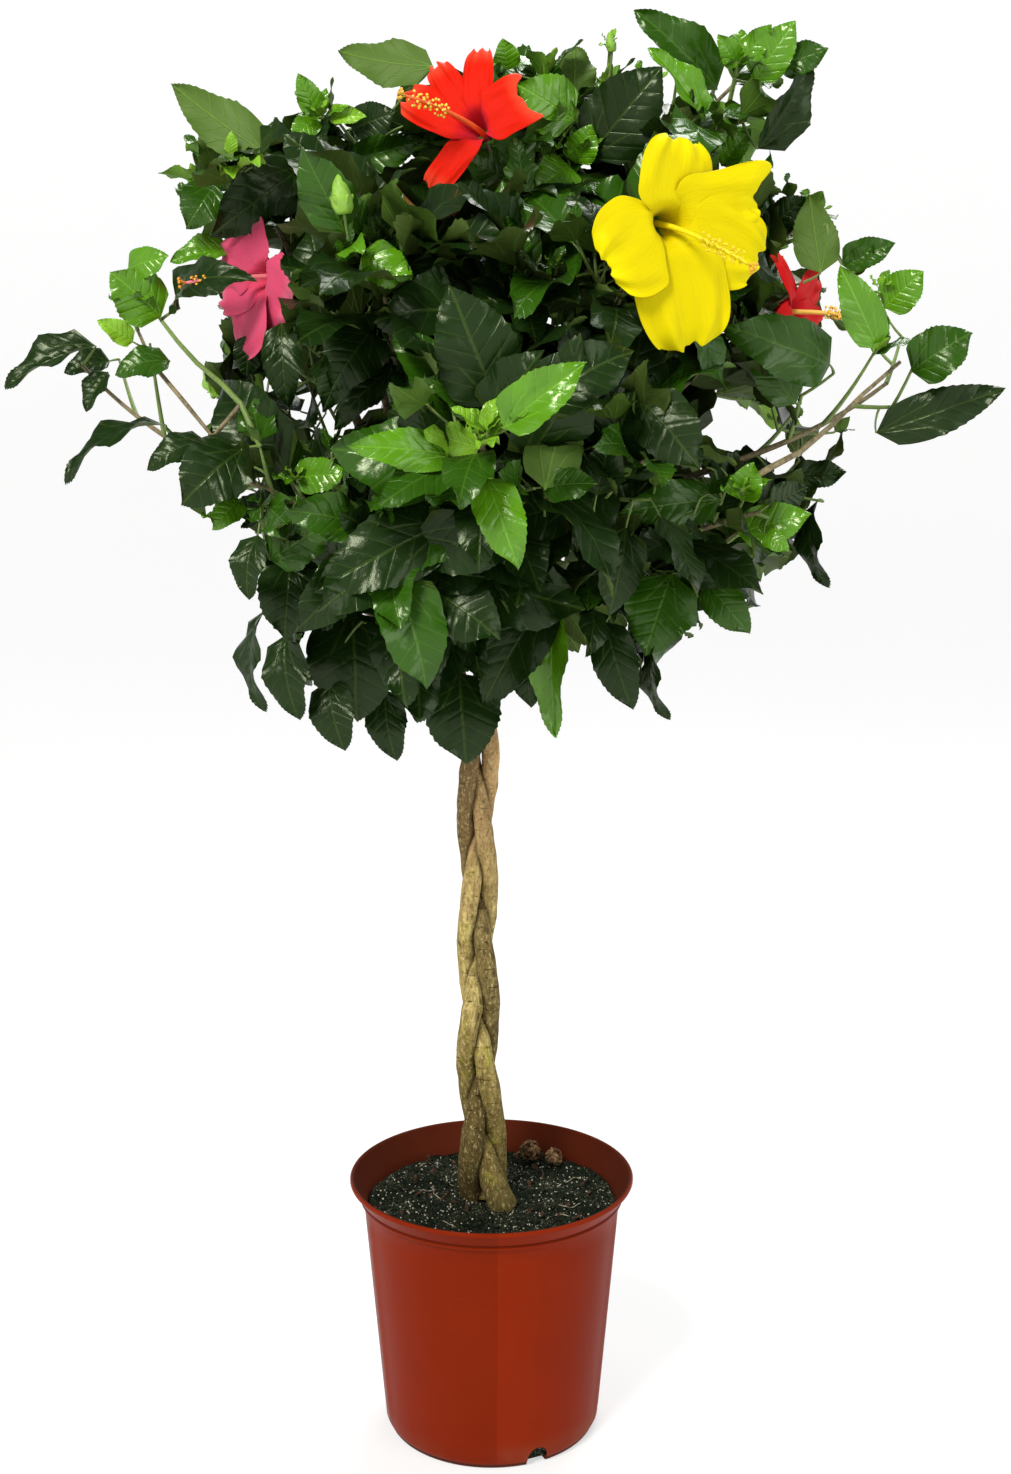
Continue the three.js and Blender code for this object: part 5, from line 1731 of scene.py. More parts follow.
def blade_mesh(name, form, width_share, fineness):
    """A closed thin blade of unit length along +Y, its face to +Z, with teeth along its sides."""
    count = fineness.stations
    steps = fineness.margin_steps
    bend = math.radians(form.bend)
    twist = math.radians(form.twist)
    fold = math.tan(math.radians(form.fold))

    def rib_point(share):
        parts = 20
        along = 0
        rise = 0
        for part in range(parts):
            angle = bend * (0.35 - (part + 0.5) / parts * share * 1.25)
            along += math.cos(angle) * share / parts
            rise += math.sin(angle) * share / parts
        return along, rise

    chord = rib_point(1)
    chord_angle = math.atan2(chord[1], chord[0])
    chord_length = math.hypot(*chord)
    points = []
    coordinates = []

    def add(station, side, thickness=0.0, bulge=0.0):
        """A point of the blade. side runs from -1 to 1 across it, and its row sweeps forward."""
        share = station + VEIN_SWEEP * abs(side) * blade_half_width(station, form.lobe) * 2 * BLADE_SPAN
        share = min(share, 1)
        half = blade_half_width(share, form.lobe)
        along, rise = rib_point(share)
        turn = twist * (share - 0.3)
        across = side * half * width_share
        lift = abs(across) * fold * (1 - 0.4 * share) - (side * half) ** 2 * 0.14 + bulge
        lift += form.wave * side * side * math.sin(2 * math.pi * (2.2 * share + 0.2 * side))
        lift -= thickness
        x = across * math.cos(turn) - lift * math.sin(turn)
        z = rise + across * math.sin(turn) + lift * math.cos(turn)
        y = (along * math.cos(chord_angle) + z * math.sin(chord_angle)) / chord_length
        z = (z * math.cos(chord_angle) - along * math.sin(chord_angle)) / chord_length
        points.append((x, y, z))
        coordinates.append((0.5 + side * half * BLADE_SPAN, share))
        return len(points) - 1

    foot = add(0, 0)
    tip = add(1, 0)
    margins = {}
    for side in (-1, 1):
        row = [foot]
        for step in range(1, steps * count):
            station = step / (steps * count)
            half = max(blade_half_width(station, form.lobe), 0.1)
            edge = 1.0
            if station > FIRST_TOOTH:
                edge = 1 + TOOTH_OUT / half if step % 2 else 1 - TOOTH_IN / half
            row.append(add(station, side * edge))
        margins[side] = row + [tip]
    triangles = []
    for under in (False, True):
        thickness = BLADE_THICKNESS if under else 0.0
        rib = [foot] + [add(index / count, 0, thickness) for index in range(1, count)] + [tip]
        for side in (-1, 1):
            rows = [rib]
            for place in fineness.rows:
                row = [
                    add(index / count, side * place, thickness, fineness.quilt * (index % 2))
                    for index in range(1, count)
                ]
                rows.append([foot, *row, tip])
            cut = []
            for low, high in zip(rows, rows[1:]):
                for index in range(count):
                    cut.append((low[index], high[index], high[index + 1]))
                    cut.append((low[index], high[index + 1], low[index + 1]))
            middle = steps // 2
            for index in range(count):
                near, far = rows[-1][index:index + 2]
                edge = margins[side][steps * index:steps * (index + 1) + 1]
                cut += [(near, edge[step], edge[step + 1]) for step in range(middle)]
                cut.append((near, edge[middle], far))
                cut += [(far, edge[step], edge[step + 1]) for step in range(middle, steps)]
            for triangle in cut:
                if len(set(triangle)) == 3:
                    flip = (side < 0) != under
                    triangles.append((tuple(reversed(triangle)) if flip else triangle, under))
    mesh = bpy.data.meshes.new(name)
    mesh.from_pydata(points, [], [triangle for triangle, under in triangles])
    layer = mesh.uv_layers.new(name="blade")
    margin_points = {foot, tip, *margins[-1], *margins[1]}
    for polygon, (triangle, under) in zip(mesh.polygons, triangles):
        polygon.use_smooth = True
        for loop in polygon.loop_indices:
            across, share = coordinates[mesh.loops[loop].vertex_index]
            share = min(max(share, 0.002), 0.998)
            layer.data[loop].uv = (across, share * 0.5 + (0.5 if under else 0))
    for edge in mesh.edges:
        edge.use_edge_sharp = edge.vertices[0] in margin_points and edge.vertices[1] in margin_points
    return mesh


def spray_points(leaves, width_share):
    """A mesh of points that says where each leaf goes, how it turns, its size and its form."""
    mesh = bpy.data.meshes.new("spray points")
    mesh.from_pydata([tuple(leaf.root * MM) for leaf in leaves], [], [])
    turns = []
    sizes = []
    for leaf in leaves:
        across = leaf.rib.cross(leaf.face)
        turn = Matrix((across, leaf.rib, leaf.face)).transposed().to_euler()
        turns.extend(turn)
        length = leaf.length * MM
        sizes.extend((leaf.width / width_share * MM, length, length))
    mesh.attributes.new("turn", "FLOAT_VECTOR", "POINT").data.foreach_set("vector", turns)
    mesh.attributes.new("size", "FLOAT_VECTOR", "POINT").data.foreach_set("vector", sizes)
    blades = mesh.attributes.new("blade", "INT", "POINT")
    blades.data.foreach_set("value", [leaf.form + (len(FORMS) if leaf.fine else 0) for leaf in leaves])
    return mesh


# Flowers

PETAL_ROWS = 18
PETAL_COLUMNS = 15
LONGEST_PETAL = 1.4
PETAL_PATCH = [(0.1, -0.2), (0.5, -0.9), (0.85, -0.9), (1, 0), (0.85, 0.9), (0.5, 0.9), (0.1, 0.2)]
THROAT_RADIUS = 4
TUBE_SPREAD = 1.2
MOUTH_REACH = 0.24
HORN_DRIFT = 0.75
WIDEST_SPREAD = 1.6
RIM_WORN = 1.02
PETAL_CUP = 0.05
PETAL_CURL = 0.08
MOST_FOOT_TURN = 0.4
PetalFrame = namedtuple("PetalFrame", "length out turn")


def petal_reach(flower, petal):
    """From the throat along the flower's plane, so that the tilted and curled tip is at its pixel."""
    ray = from_pixel(*petal.tip, flower.throat.y) - CAMERA_PLACE
    rise = math.tan(math.radians(petal.tilt)) - PETAL_CUP / 4 - PETAL_CURL
    reach = Vector()
    for attempt in range(4):
        foot = flower.throat + flower.facing * reach.length * rise
        share = (foot - CAMERA_PLACE).dot(flower.facing) / ray.dot(flower.facing)
        reach = CAMERA_PLACE + ray * share - foot
    longest = flower.radius * LONGEST_PETAL
    return reach if reach.length < longest else reach.normalized() * longest


def petal_frames(flower):
    """Each petal's length, the way of its tip, and the turn of its foot: the feet stand evenly."""
    reaches = [petal_reach(flower, petal) for petal in flower.petals]
    angles = [math.atan2(reach.dot(flower.up), reach.dot(flower.right)) for reach in reaches]
    whole = 2 * math.pi
    places = [0.0]
    for angle, following in zip(angles, angles[1:]):
        places.append(places[-1] + (following - angle + math.pi) % whole - math.pi)
    step = math.copysign(whole / len(places), places[-1])
    spare = [place - index * step for index, place in enumerate(places)]
    middle = sum(spare) / len(spare)
    turns = [min(max(middle - place, -MOST_FOOT_TURN), MOST_FOOT_TURN) for place in spare]
    return [
        PetalFrame(reach.length * RIM_WORN, reach.normalized(), turn)
        for reach, turn in zip(reaches, turns)
    ]


def petal_half_width(along, square):
    """Half the width of a petal of unit width: narrow in the tube, broad and round outside."""
    foot = 0.15 + 0.36 * smoothstep(0, 0.42, along)
    end = max(1 - (max(along - 0.55, 0) / 0.45) ** square, 0) ** (1 / square)
    return foot * end


def petal_place(flower, petal, petal_frame, along, across, ruffle=0.0):
    """A point of a petal. along runs from the tube's foot to the rim, across from -1 to 1."""
    length = petal_frame.length
    turn = petal_frame.turn * (1 - smoothstep(0.05, 0.5, along))
    out = Quaternion(flower.facing, turn) @ petal_frame.out
    shown = max(along - 0.16, 0) / 0.84
    drift = 0.0
    for place, size in petal.horns:
        horn = size * math.exp(-(((across - place) / 0.2) ** 2)) * smoothstep(0.6, 1, along)
        shown += horn
        drift += horn * math.copysign(HORN_DRIFT, place) * length
    reach = THROAT_RADIUS * (0.4 + 0.6 * smoothstep(0.0, 0.26, along))
    reach += (length - THROAT_RADIUS) * shown
    spread = mix(TUBE_SPREAD, WIDEST_SPREAD, smoothstep(0.14, 0.3, along))
    half = min(petal_half_width(along, petal.square) * petal.width, reach * spread + 1)
    sideways = across * half + drift
    mouth = smoothstep(THROAT_RADIUS * 0.4, length * MOUTH_REACH, math.hypot(reach, sideways))
    back = flower.radius * TUBE_SHARE * (1 - mouth) ** 1.6
    tilt = math.tan(math.radians(petal.tilt)) * reach * smoothstep(0.2, 1, along)
    cup = -((along - 0.5) ** 2) * length * PETAL_CUP
    overlap = across * half * 0.11
    curl = -(smoothstep(0.75, 1, along) ** 2) * length * PETAL_CURL
    ahead = -back + tilt + cup + overlap + curl + ruffle
    aside = flower.facing.cross(out)
    return flower.throat + out * reach + aside * sideways + flower.facing * ahead


def petal_grid(flower, petal, petal_frame, seed):
    """Points, faces and blade coordinates of one petal, with folds that run out to its rim."""
    phase = SeededRandom(seed)() * 6.28
    points = []
    coordinates = []
    for along in shares(PETAL_ROWS - 1):
        for across in [2 * column / (PETAL_COLUMNS - 1) - 1 for column in range(PETAL_COLUMNS)]:
            edge = smoothstep(0.45, 1, max(along, abs(across) * smoothstep(0.2, 0.6, along)))
            wave = math.sin(across * 7.5 + phase) * 0.6
            wave += math.sin(across * 13 + phase * 2 + along * 5) * 0.4
            folds = math.cos(across * 9.4 + 0.6 * math.sin(phase)) * 0.5 * smoothstep(0.2, 0.6, along)
            ruffle = wave * edge * flower.ruffle * petal_frame.length * 0.075 + folds
            notch = 0.03 * (1 + math.sin(across * 17 + phase))
            notch += 0.035 * (1 + math.sin(across * 6.5 + phase * 3))
            trim = 1 - notch * flower.ruffle * smoothstep(0.7, 1, along)
            place = min(along, 0.995) * trim
            points.append(petal_place(flower, petal, petal_frame, place, across, ruffle))
            coordinates.append((0.5 + across * 0.45, along))
    return points, grid(PETAL_ROWS, PETAL_COLUMNS), coordinates


# Pot


def body_radius(height):
    share = (height - FOOT_CHAMFER) / (POT_HEIGHT - LIP_HEIGHT - FOOT_CHAMFER)
    return mix(BODY_BOTTOM_RADIUS, BODY_TOP_RADIUS, share)


def pot_profile():
    """The pot's section: foot, body, ledge, flared lip, rolled rim, and the wall's inside."""
    ledge = POT_HEIGHT - LIP_HEIGHT
    steps = shares(14)[1:]
    body = [mix(FOOT_CHAMFER, ledge - 2, step) for step in steps]
    inside = [mix(ledge - 2, POT_FLOOR + 2, step) for step in steps]
    on_lip = [(-0.6, 0), (0, 0.8), (0.5, 2.5), (-0.3, 4), (1.4, 6)]
    on_rim = [
        (2.6, 6.5), (1.5, 5), (0.5, 4.4), (0, 3.2), (0, 1.6), (0.6, 0.5), (1.8, 0), (3, 0.5),
        (3.6, 1.8), (4.4, 5),
    ]
    return [
        (0, 0), (FOOT_RADIUS - 16, 0), (FOOT_RADIUS - 2, 0), (FOOT_RADIUS - 0.5, 0.7),
        (BODY_BOTTOM_RADIUS - 0.9, FOOT_CHAMFER - 2), (BODY_BOTTOM_RADIUS, FOOT_CHAMFER),
        *[(body_radius(height), height) for height in body],
        (BODY_TOP_RADIUS + 0.4, ledge - 1.2), (BODY_TOP_RADIUS + 1.6, ledge - 0.3),
        *[(LIP_BOTTOM_RADIUS + out, ledge + up) for out, up in on_lip],
        *[(RIM_RADIUS - back, POT_HEIGHT - down) for back, down in on_rim],
        (LIP_BOTTOM_RADIUS - 1.6, ledge + 5), (LIP_BOTTOM_RADIUS - POT_WALL, ledge + 2),
        (BODY_TOP_RADIUS - POT_WALL, ledge - 2),
        *[(body_radius(height) - POT_WALL, height) for height in inside],
        (BODY_BOTTOM_RADIUS - POT_WALL - 2, POT_FLOOR), (FOOT_RADIUS - 20, POT_FLOOR), (0, POT_FLOOR),
    ]


def panel_swell(radius, height, turn):
    """The five soft upright ridges moulded in the pot's wall."""
    ledge = POT_HEIGHT - LIP_HEIGHT
    ridge = abs(math.cos(PANEL_COUNT / 2 * (turn - FIRST_PANEL_ANGLE))) ** 70
    fade = smoothstep(4, 26, height) * (1 - smoothstep(ledge - 16, ledge, height))
    return 1.3 * ridge * fade if radius > FOOT_RADIUS - 10 else 0


def notch_cutters():
    """Upright arches, pushed in from outside at the pot's foot."""
    builder = Builder()
    half = NOTCH_WIDTH / 2
    spring = NOTCH_BOTTOM + NOTCH_HEIGHT - half
    outline = [(-half, NOTCH_BOTTOM), (half, NOTCH_BOTTOM)]
    for share in shares(12):
        arch = round_point(half, math.pi * share)
        outline.append((arch.x, spring + arch.y))
    count = len(outline)
    for angle in round_turns(NOTCH_COUNT, FIRST_NOTCH_ANGLE):
        out = round_point(1, angle)
        aside = UP.cross(out)
        points = [
            out * reach + aside * across + UP * height
            for reach in (BODY_BOTTOM_RADIUS - NOTCH_DEPTH / 2, BODY_BOTTOM_RADIUS + 12)
            for across, height in outline
        ]
        ends = [tuple(range(count)), tuple(reversed(range(count, 2 * count)))]
        builder.add(points, ends + band(0, count, count))
    return builder.mesh("notches")


def make_pot(colours):
    profile = pot_profile()
    builder = Builder()
    for turn in round_turns(POT_SEGMENTS):
        for radius, height in profile:
            reach = radius + panel_swell(radius, height, turn)
            builder.points.append(round_point(reach, turn, height))
    for segment in range(POT_SEGMENTS):
        following = (segment + 1) % POT_SEGMENTS
        builder.faces += band(segment * len(profile), following * len(profile), len(profile))
    whole = new_object("whole pot", builder.mesh("pot"))
    cutter = new_object("notches", notch_cutters())
    cut = whole.modifiers.new("drain holes", "BOOLEAN")
    cut.operation = "DIFFERENCE"
    cut.solver = "EXACT"
    cut.object = cutter
    pierced = evaluated_mesh(whole)
    for shape in (whole, cutter):
        bpy.data.objects.remove(shape)
    clean(pierced)
    pot = new_piece("nursery_pot", pierced, pot_plastic(colours.pot))
    work = bmesh.new()
    work.from_mesh(pierced)
    for edge in work.edges:
        edge.smooth = len(edge.link_faces) == 2 and edge.calc_face_angle(0) < CREASE_ANGLE
    work.to_mesh(pierced)
    work.free()
    finish_piece(pot, "pot_plastic", "pot")


# Soil and what lies on it


def soil_height(x, y):
    """The height of the soil's uneven top. It is level where the stems stand."""
    radius = math.hypot(x, y)
    rough = noise.noise(Vector((x, y, 3)) / 16) * 2.2 + noise.noise(Vector((x, y, 9)) / 5) * 1.3
    swell = noise.noise(Vector((x, y, 20)) / 45) * 3.0 * smoothstep(SOIL_FLAT_RADIUS, 90, radius)
    return SOIL_TOP - 0.6 + rough * smoothstep(8, SOIL_FLAT_RADIUS, radius) + rough * 0.35 + swell


def soil_edge_radius(height):
    return body_radius(height) - POT_WALL - SOIL_CLEARANCE


def soil_top(edge, rings):
    """The uneven top as rings of points round its middle."""
    builder = Builder()
    builder.points = [Vector((0, 0, soil_height(0, 0)))]
    for ring in range(rings):
        start = len(builder.points)
        for turn in round_turns(SOIL_SEGMENTS):
            point = round_point(edge * (ring + 1) / rings, turn)
            point.z = soil_height(point.x, point.y)
            builder.points.append(point)
        sides = range(SOIL_SEGMENTS)
        middle = [(0, start + side, start + (side + 1) % SOIL_SEGMENTS) for side in sides]
        builder.faces += band(start - SOIL_SEGMENTS, start, SOIL_SEGMENTS) if ring else middle
    return builder


def make_soil(colours):
    builder = soil_top(soil_edge_radius(SOIL_TOP), SOIL_RINGS)
    for height in (SOIL_TOP - 8, SOIL_TOP - 90, 12, POT_FLOOR + SOIL_CLEARANCE):
        start = len(builder.points)
        radius = soil_edge_radius(height) - (2 if height < 10 else 0)
        builder.points += [round_point(radius, turn, height) for turn in round_turns(SOIL_SEGMENTS)]
        builder.faces += band(start - SOIL_SEGMENTS, start, SOIL_SEGMENTS)
    builder.faces.append(tuple(reversed(range(start, start + SOIL_SEGMENTS))))
    builder.piece("potting_mix", potting_soil(colours.soil), "potting_soil", "soil")


def lump_mesh(name, seed, sizes, roughness):
    """A small uneven lump of a few dozen faces, in metres."""
    work = bmesh.new()
    bmesh.ops.create_icosphere(work, subdivisions=2, radius=1)
    for vertex in work.verts:
        push = 1 + roughness * noise.noise(vertex.co * 1.7 + Vector((seed * 3.1, seed, 0)))
        vertex.co = Vector([part * push * size * MM for part, size in zip(vertex.co, sizes)])
    mesh = bpy.data.meshes.new(name)
    work.to_mesh(mesh)
    work.free()
    return mesh


def scattered(name, shapes, material, ground, density, apart, smallest, largest, seed):
    """A piece of many small shapes strewn over the soil."""
    collection = shapes_in_collection(name, shapes)
    made = scatter_tree().grow(ground.copy(), {
        "Shapes": collection,
        "Density": density,
        "Apart": apart * MM,
        "Smallest": smallest,
        "Largest": largest,
        "Seed": seed,
        "Material": material,
    })
    remove_collection(collection)
    finish_piece(new_piece(name, made, material), "potting_soil")


def soil_point(across, down):
    """The point on the soil behind a pixel of the photograph."""
    ray = from_pixel(across, down, 0) - CAMERA_PLACE
    return CAMERA_PLACE + ray * ((SOIL_TOP - CAMERA_PLACE.z) / ray.z)


def pale_roots(random, count):
    """Thin roots and straws that lie on the soil in short loose bends."""
    lines = []
    for root in range(count):
        radius = random.between(40, 104)
        place = round_point(radius, random() * 2 * math.pi)
        heading = random() * 2 * math.pi
        line = []
        for step in range(9):
            if place.length < soil_edge_radius(SOIL_TOP) - 3:
                thickness = random.between(0.25, 0.48)
                lift = UP * (soil_height(place.x, place.y) + 0.9)
                line.append((place + lift, thickness))
            heading += random.between(-0.6, 0.6)
            place = place + round_point(3.4, heading)
        if len(line) > 3:
            lines.append(line)
    return lines


def add_clump(builder, foot, random, count, reach):
    """Dry leaves crumpled into a ball that stands on the soil, each a small curled strip."""
    centre = foot + UP * reach * 1.05
    rows = 9
    columns = 4
    for scrap in range(count):
        axis = Vector([random.between(-1, 1) for part in range(3)]).normalized()
        first = square_to(axis, random() * 2 * math.pi)
        second = axis.cross(first)
        curl = random.between(1.8, 3.6)
        radius = reach * random.between(0.45, 1.05)
        width = reach * random.between(0.25, 0.6)
        middle = centre + axis * reach * random.between(-0.45, 0.45)
        points = []
        for row in range(rows):
            out = turned(first, second, curl * row / (rows - 1))
            breadth = width * math.sin(math.pi * (row + 0.8) / (rows + 0.6))
            for column in range(columns):
                across = (column / (columns - 1) - 0.5) * breadth
                dent = random.between(-0.14, 0.14) * reach
                points.append(middle + out * (radius + dent) + axis * across)
        builder.add(points, grid(rows, columns))


# Clumps of dry scraps: the pixel of the foot, half the height in millimetres, and how many scraps
CLUMPS = [((530, 1162), 10, 20), ((553, 1166), 8.5, 15), ((516, 1160), 4, 5)]
# Darkest and palest colour, how fine the mottling is, roughness, and the relief's size in metres
LITTER_LOOKS = {
    "perlite": ((0.24, 0.23, 0.16), (0.64, 0.61, 0.48), 380.0, 0.85, 0.0006),
    "bark chips": ((0.02, 0.012, 0.007), (0.1, 0.055, 0.032), 260.0, 0.8, 0.0012),
    "dark crumbs": ((0.003, 0.006, 0.003), (0.022, 0.028, 0.015), 320.0, 0.85, 0.0012),
    "pale roots": ((0.2, 0.16, 0.1), (0.52, 0.46, 0.34), 300.0, 0.75, 0.0004),
    "dry scraps": ((0.05, 0.026, 0.012), (0.3, 0.18, 0.085), 210.0, 0.85, 0.0008),
}
# Flakes of bark: seed, half the sizes in millimetres and roughness
FLAKES = [(11, (5.4, 2.3, 1.0), 0.7), (12, (3.8, 2.7, 0.9), 0.8), (13, (6.6, 1.6, 0.8), 0.6)]


def make_litter(sizes):
    random = SeededRandom(FIRST_SEED)
    ground = soil_top(soil_edge_radius(SOIL_TOP) - 3, 16)
    ground = mesh_of("ground", ground.points, ground.faces)
    looks = [litter_surface(name, *look) for name, look in LITTER_LOOKS.items()]
    perlite, chips, crumbs, roots, dry = looks
    beads = [lump_mesh("bead", seed, (1, 0.8, 0.7), 0.9) for seed in range(3)]
    flakes = [lump_mesh("flake", *flake) for flake in FLAKES]
    grains = [lump_mesh("grain", 21 + seed, (1.5, 1.2, 1.0), 0.9) for seed in range(3)]
    scattered("perlite_beads", beads, perlite, ground, sizes.perlite_density, 1.8, 0.25, 1.1, 3)
    scattered("bark_chips", flakes, chips, ground, sizes.chip_density, 9, 0.6, 1.5, 5)
    scattered("soil_crumbs", grains, crumbs, ground, sizes.crumb_density, 2.4, 0.6, 2.0, 8)
    twig_piece("pale_roots", pale_roots(random, 14), 5, roots, "potting_soil")
    builder = Builder()
    for pixel, reach, count in CLUMPS:
        add_clump(builder, soil_point(*pixel), random, count, reach)
    heap = new_piece("dry_scraps", mesh_of("dry_scraps", builder.points, builder.faces), dry)
    add_wall(heap)
    finish_piece(heap, "potting_soil")


# Stems and boughs

STEM_RINGS = 250
STEM_SIDES = 40
STEM_DARKNESS = [0.0, 0.12, 0.6]
Knot = namedtuple("Knot", "across down depth size hole")
KNOTS = [Knot(*row) for row in [
    (488, 957, -16, 5, 2.6), (470, 1010, -16, 4, 1.5), (489, 1022, -16, 5, 1.8), (466, 880, -14, 4, 1.2),
    (478, 1108, -16, 5, 0.8), (497, 1150, -18, 5, 0.8), (484, 905, 12, 5, 1.6), (466, 1060, 12, 5, 1.4),
]]


def knot_relief(place, knots):
    """How far a knot pushes the bark out at a place, with the hole in its middle."""
    push = 0
    for centre, size, hole in knots:
        distance = (place - centre).length
        push += 1.3 * math.exp(-((distance / size) ** 2))
        push -= hole * math.exp(-((distance / (size * 0.36)) ** 2))
    return push


def bark_centre(stem, height):
    """Centre of a stem's bark. The stems press together, so the braid is drawn in a little."""
    place = stem_point(stem, height)
    middle = sum(stem_point(other, height).x for other in range(len(STEM_NAMES))) / len(STEM_NAMES)
    drawn = mix(BRAID_TIGHTNESS, 1, smoothstep(BRAID_TOP - 120, BRAID_TOP, height))
    place.x = mix(middle, place.x, drawn)
    return place


def stem_mesh(stem, relief):
    knots = [(from_pixel(*knot[:3]), knot.size, knot.hole) for knot in KNOTS]
    top = LEADER_TIPS[stem].z
    heights = [mix(STEM_BASE - 3, top, share) for share in shares(STEM_RINGS - 1)]
    centres = [bark_centre(stem, height) for height in heights]

    def radius_at(ring, turn):
        height = heights[ring]
        base = stem_radius(max(height, STEM_BASE)) * BARK_FULLNESS
        place = centres[ring] + round_point(1, turn) * base
        along = Vector((place.x, place.y, place.z * 0.22))
        flare = math.exp(-(height - STEM_BASE) / 22)
        lobes = 0.9 * flare * math.cos(3 * turn + stem * 2.1) + 0.5 * flare * math.cos(5 * turn + stem)
        ridges = noise.noise(along / 2.6) * 0.3 + noise.noise(along / 6) * 0.55
        lumps = noise.noise(place / 14) * 0.7 + noise.noise(Vector((stem * 9, 0, height / 26))) * 0.55
        fine = noise.noise(place / 1.3) * 0.12
        taper = smoothstep(0, 3, top - height)
        grown = (ridges + lumps + fine) * relief + lobes + knot_relief(place, knots)
        return max(base * mix(0.72, 1, taper) + grown * mix(0.4, 1, taper), 1)

    builder = Builder()
    builder.bar(centres, radius_at, STEM_SIDES)
    mesh = builder.mesh(STEM_NAMES[stem])
    note_crevice_shade(mesh, stem)
    return mesh


def note_crevice_shade(mesh, stem):
    """Marks how near each point of a stem's bark lies to another stem, for the painted shade where the
    stems press together.
    """
    values = []
    for vertex in mesh.vertices:
        place = vertex.co / MM
        gaps = []
        for other in range(len(STEM_NAMES)):
            if other != stem:
                aside = bark_centre(other, place.z) - place
                gaps.append(aside.length - stem_radius(place.z) * BARK_FULLNESS)
        values.append(1 - smoothstep(-1, 4.5, min(gaps)))
    mesh.attributes.new("crevice", "FLOAT", "POINT").data.foreach_set("value", values)


def make_stems(sizes, colours):
    for stem, name in enumerate(STEM_NAMES):
        bark = stem_bark(
            f"{name} bark", colours.bark_tan, colours.bark_olive, colours.bark_moss, STEM_DARKNESS[stem]
        )
        piece = new_piece(f"{name}_bark", stem_mesh(stem, sizes.bark_relief), bark)
        finish_piece(piece, "stem_bark", name)


def add_bough(builder, mass):
    """One bough with a swollen collar where it leaves its leader, and small nodes along it."""
    bough = bough_of(mass)
    length = bough.length()
    number = MASSES.index(mass)
    places = shares(max(16, round(length / 3.5)) - 1)
    centres = [bough.at(share) for share in places]

    def radius_at(ring, turn):
        share = places[ring]
        collar = 1.5 * math.exp(-share * length / 8)
        nodes = 0.35 * math.exp(-((((share * length + number * 5) % 21) - 10) / 1.8) ** 2)
        place = centres[ring] + round_point(1, turn) * 3
        bark = noise.noise(Vector((place.x, place.y, place.z * 0.5)) / 5) * 0.45
        return bough.radius(share) + collar + nodes + bark

    builder.bar(centres, radius_at, 14)


def make_boughs(colours):
    bark = limb_bark("bough bark", colours.bough_dark, colours.bough_light, 0.55)
    for stem, stem_name in enumerate(STEM_NAMES):
        builder = Builder()
        carried = [mass for mass in MASSES if mass.stem == stem]
        for mass in carried:
            add_bough(builder, mass)
        nodes = [f"bough_{mass.name}" for mass in carried]
        builder.piece(f"boughs_of_{stem_name}", bark, "bough_bark", *nodes)


# Twigs and leaves


def green_bark(name, colours, rough):
    return limb_bark(name, shade(colours.twig_green, 0.7), colours.twig_green, rough)


def make_twigs(crown, colours):
    wood = limb_bark("twig bark", colours.bough_dark, colours.bough_light, 0.5)
    green = green_bark("green twigs", colours, 0.42)
    woody = [twig.line for twig in crown.twigs if not twig.green]
    fresh = [twig.line for twig in crown.twigs if twig.green]
    twig_piece("woody_twigs", woody, 8, wood, "bough_bark")
    twig_piece("green_twigs", fresh, 6, green, "foliage")
    twig_piece("leaf_stalks", crown.stalks, 4, green, "foliage")


LEAVES_IN_A_PIECE = 1100
# For each tone of leaf
LEAF_ROUGHNESS = [0.28, 0.25, 0.23, 0.31]
LEAF_SHINE = [0.27, 0.38, 0.6, 0.55]


def make_leaves(crown, sizes, colours):
    blades = [
        blade_mesh(f"{label}_{index}", form, sizes.leaf_width_share, fineness)
        for label, fineness in (("plain", PLAIN), ("fine", FINE))
        for index, form in enumerate(FORMS)
    ]
    collection = shapes_in_collection("blade", blades)
    tones = [colours.leaf_deep, colours.leaf_green, colours.leaf_bright, colours.leaf_young]
    masses = [mass.name for mass in MASSES if mass.name not in BLOOMS]
    tree = spray_tree()
    for tone, label in enumerate(TONE_NAMES):
        leaves = [leaf for leaf in crown.leaves if leaf.tone == tone]
        material = leaf_surface(f"{label} leaves", tones[tone], LEAF_ROUGHNESS[tone], LEAF_SHINE[tone])
        for first in range(0, len(leaves), LEAVES_IN_A_PIECE):
            some = leaves[first:first + LEAVES_IN_A_PIECE]
            made = tree.grow(spray_points(some, sizes.leaf_width_share), {
                "Blades": collection,
                "Size": 1.0,
                "Material": material,
            })
            name = f"leaves_{label}_{first // LEAVES_IN_A_PIECE + 1}"
            finish_piece(new_piece(name, made, material), "foliage", *masses)
    remove_collection(collection)


# Flowers and buds

COLUMN_LENGTH = 1.12
COLUMN_RADIUS = 1.9
ANTHER_COUNT = 46
STIGMA_COUNT = 5


def add_capsule(builder, start, way, length, radius, sides=6):
    """A small closed rounded bar."""
    swell = [0.35, 0.85, 1, 0.85, 0.3]
    centres = [start + way * length * share for share in shares(4)]
    builder.bar(centres, [radius * share for share in swell], sides)


def column_line(flower):
    """The column's middle: straight out of the tube and then bent the way it hangs."""
    column = Vector(flower.column)
    way = column.normalized()
    length = flower.radius * COLUMN_LENGTH * column.length
    start = flower.throat - flower.facing * flower.radius * TUBE_SHARE * 0.8
    middle = flower.throat + (flower.facing * 0.7 + way * 0.3).normalized() * length * 0.3
    end = flower.throat + way * length
    return lambda share: bezier((start, middle, end), share)


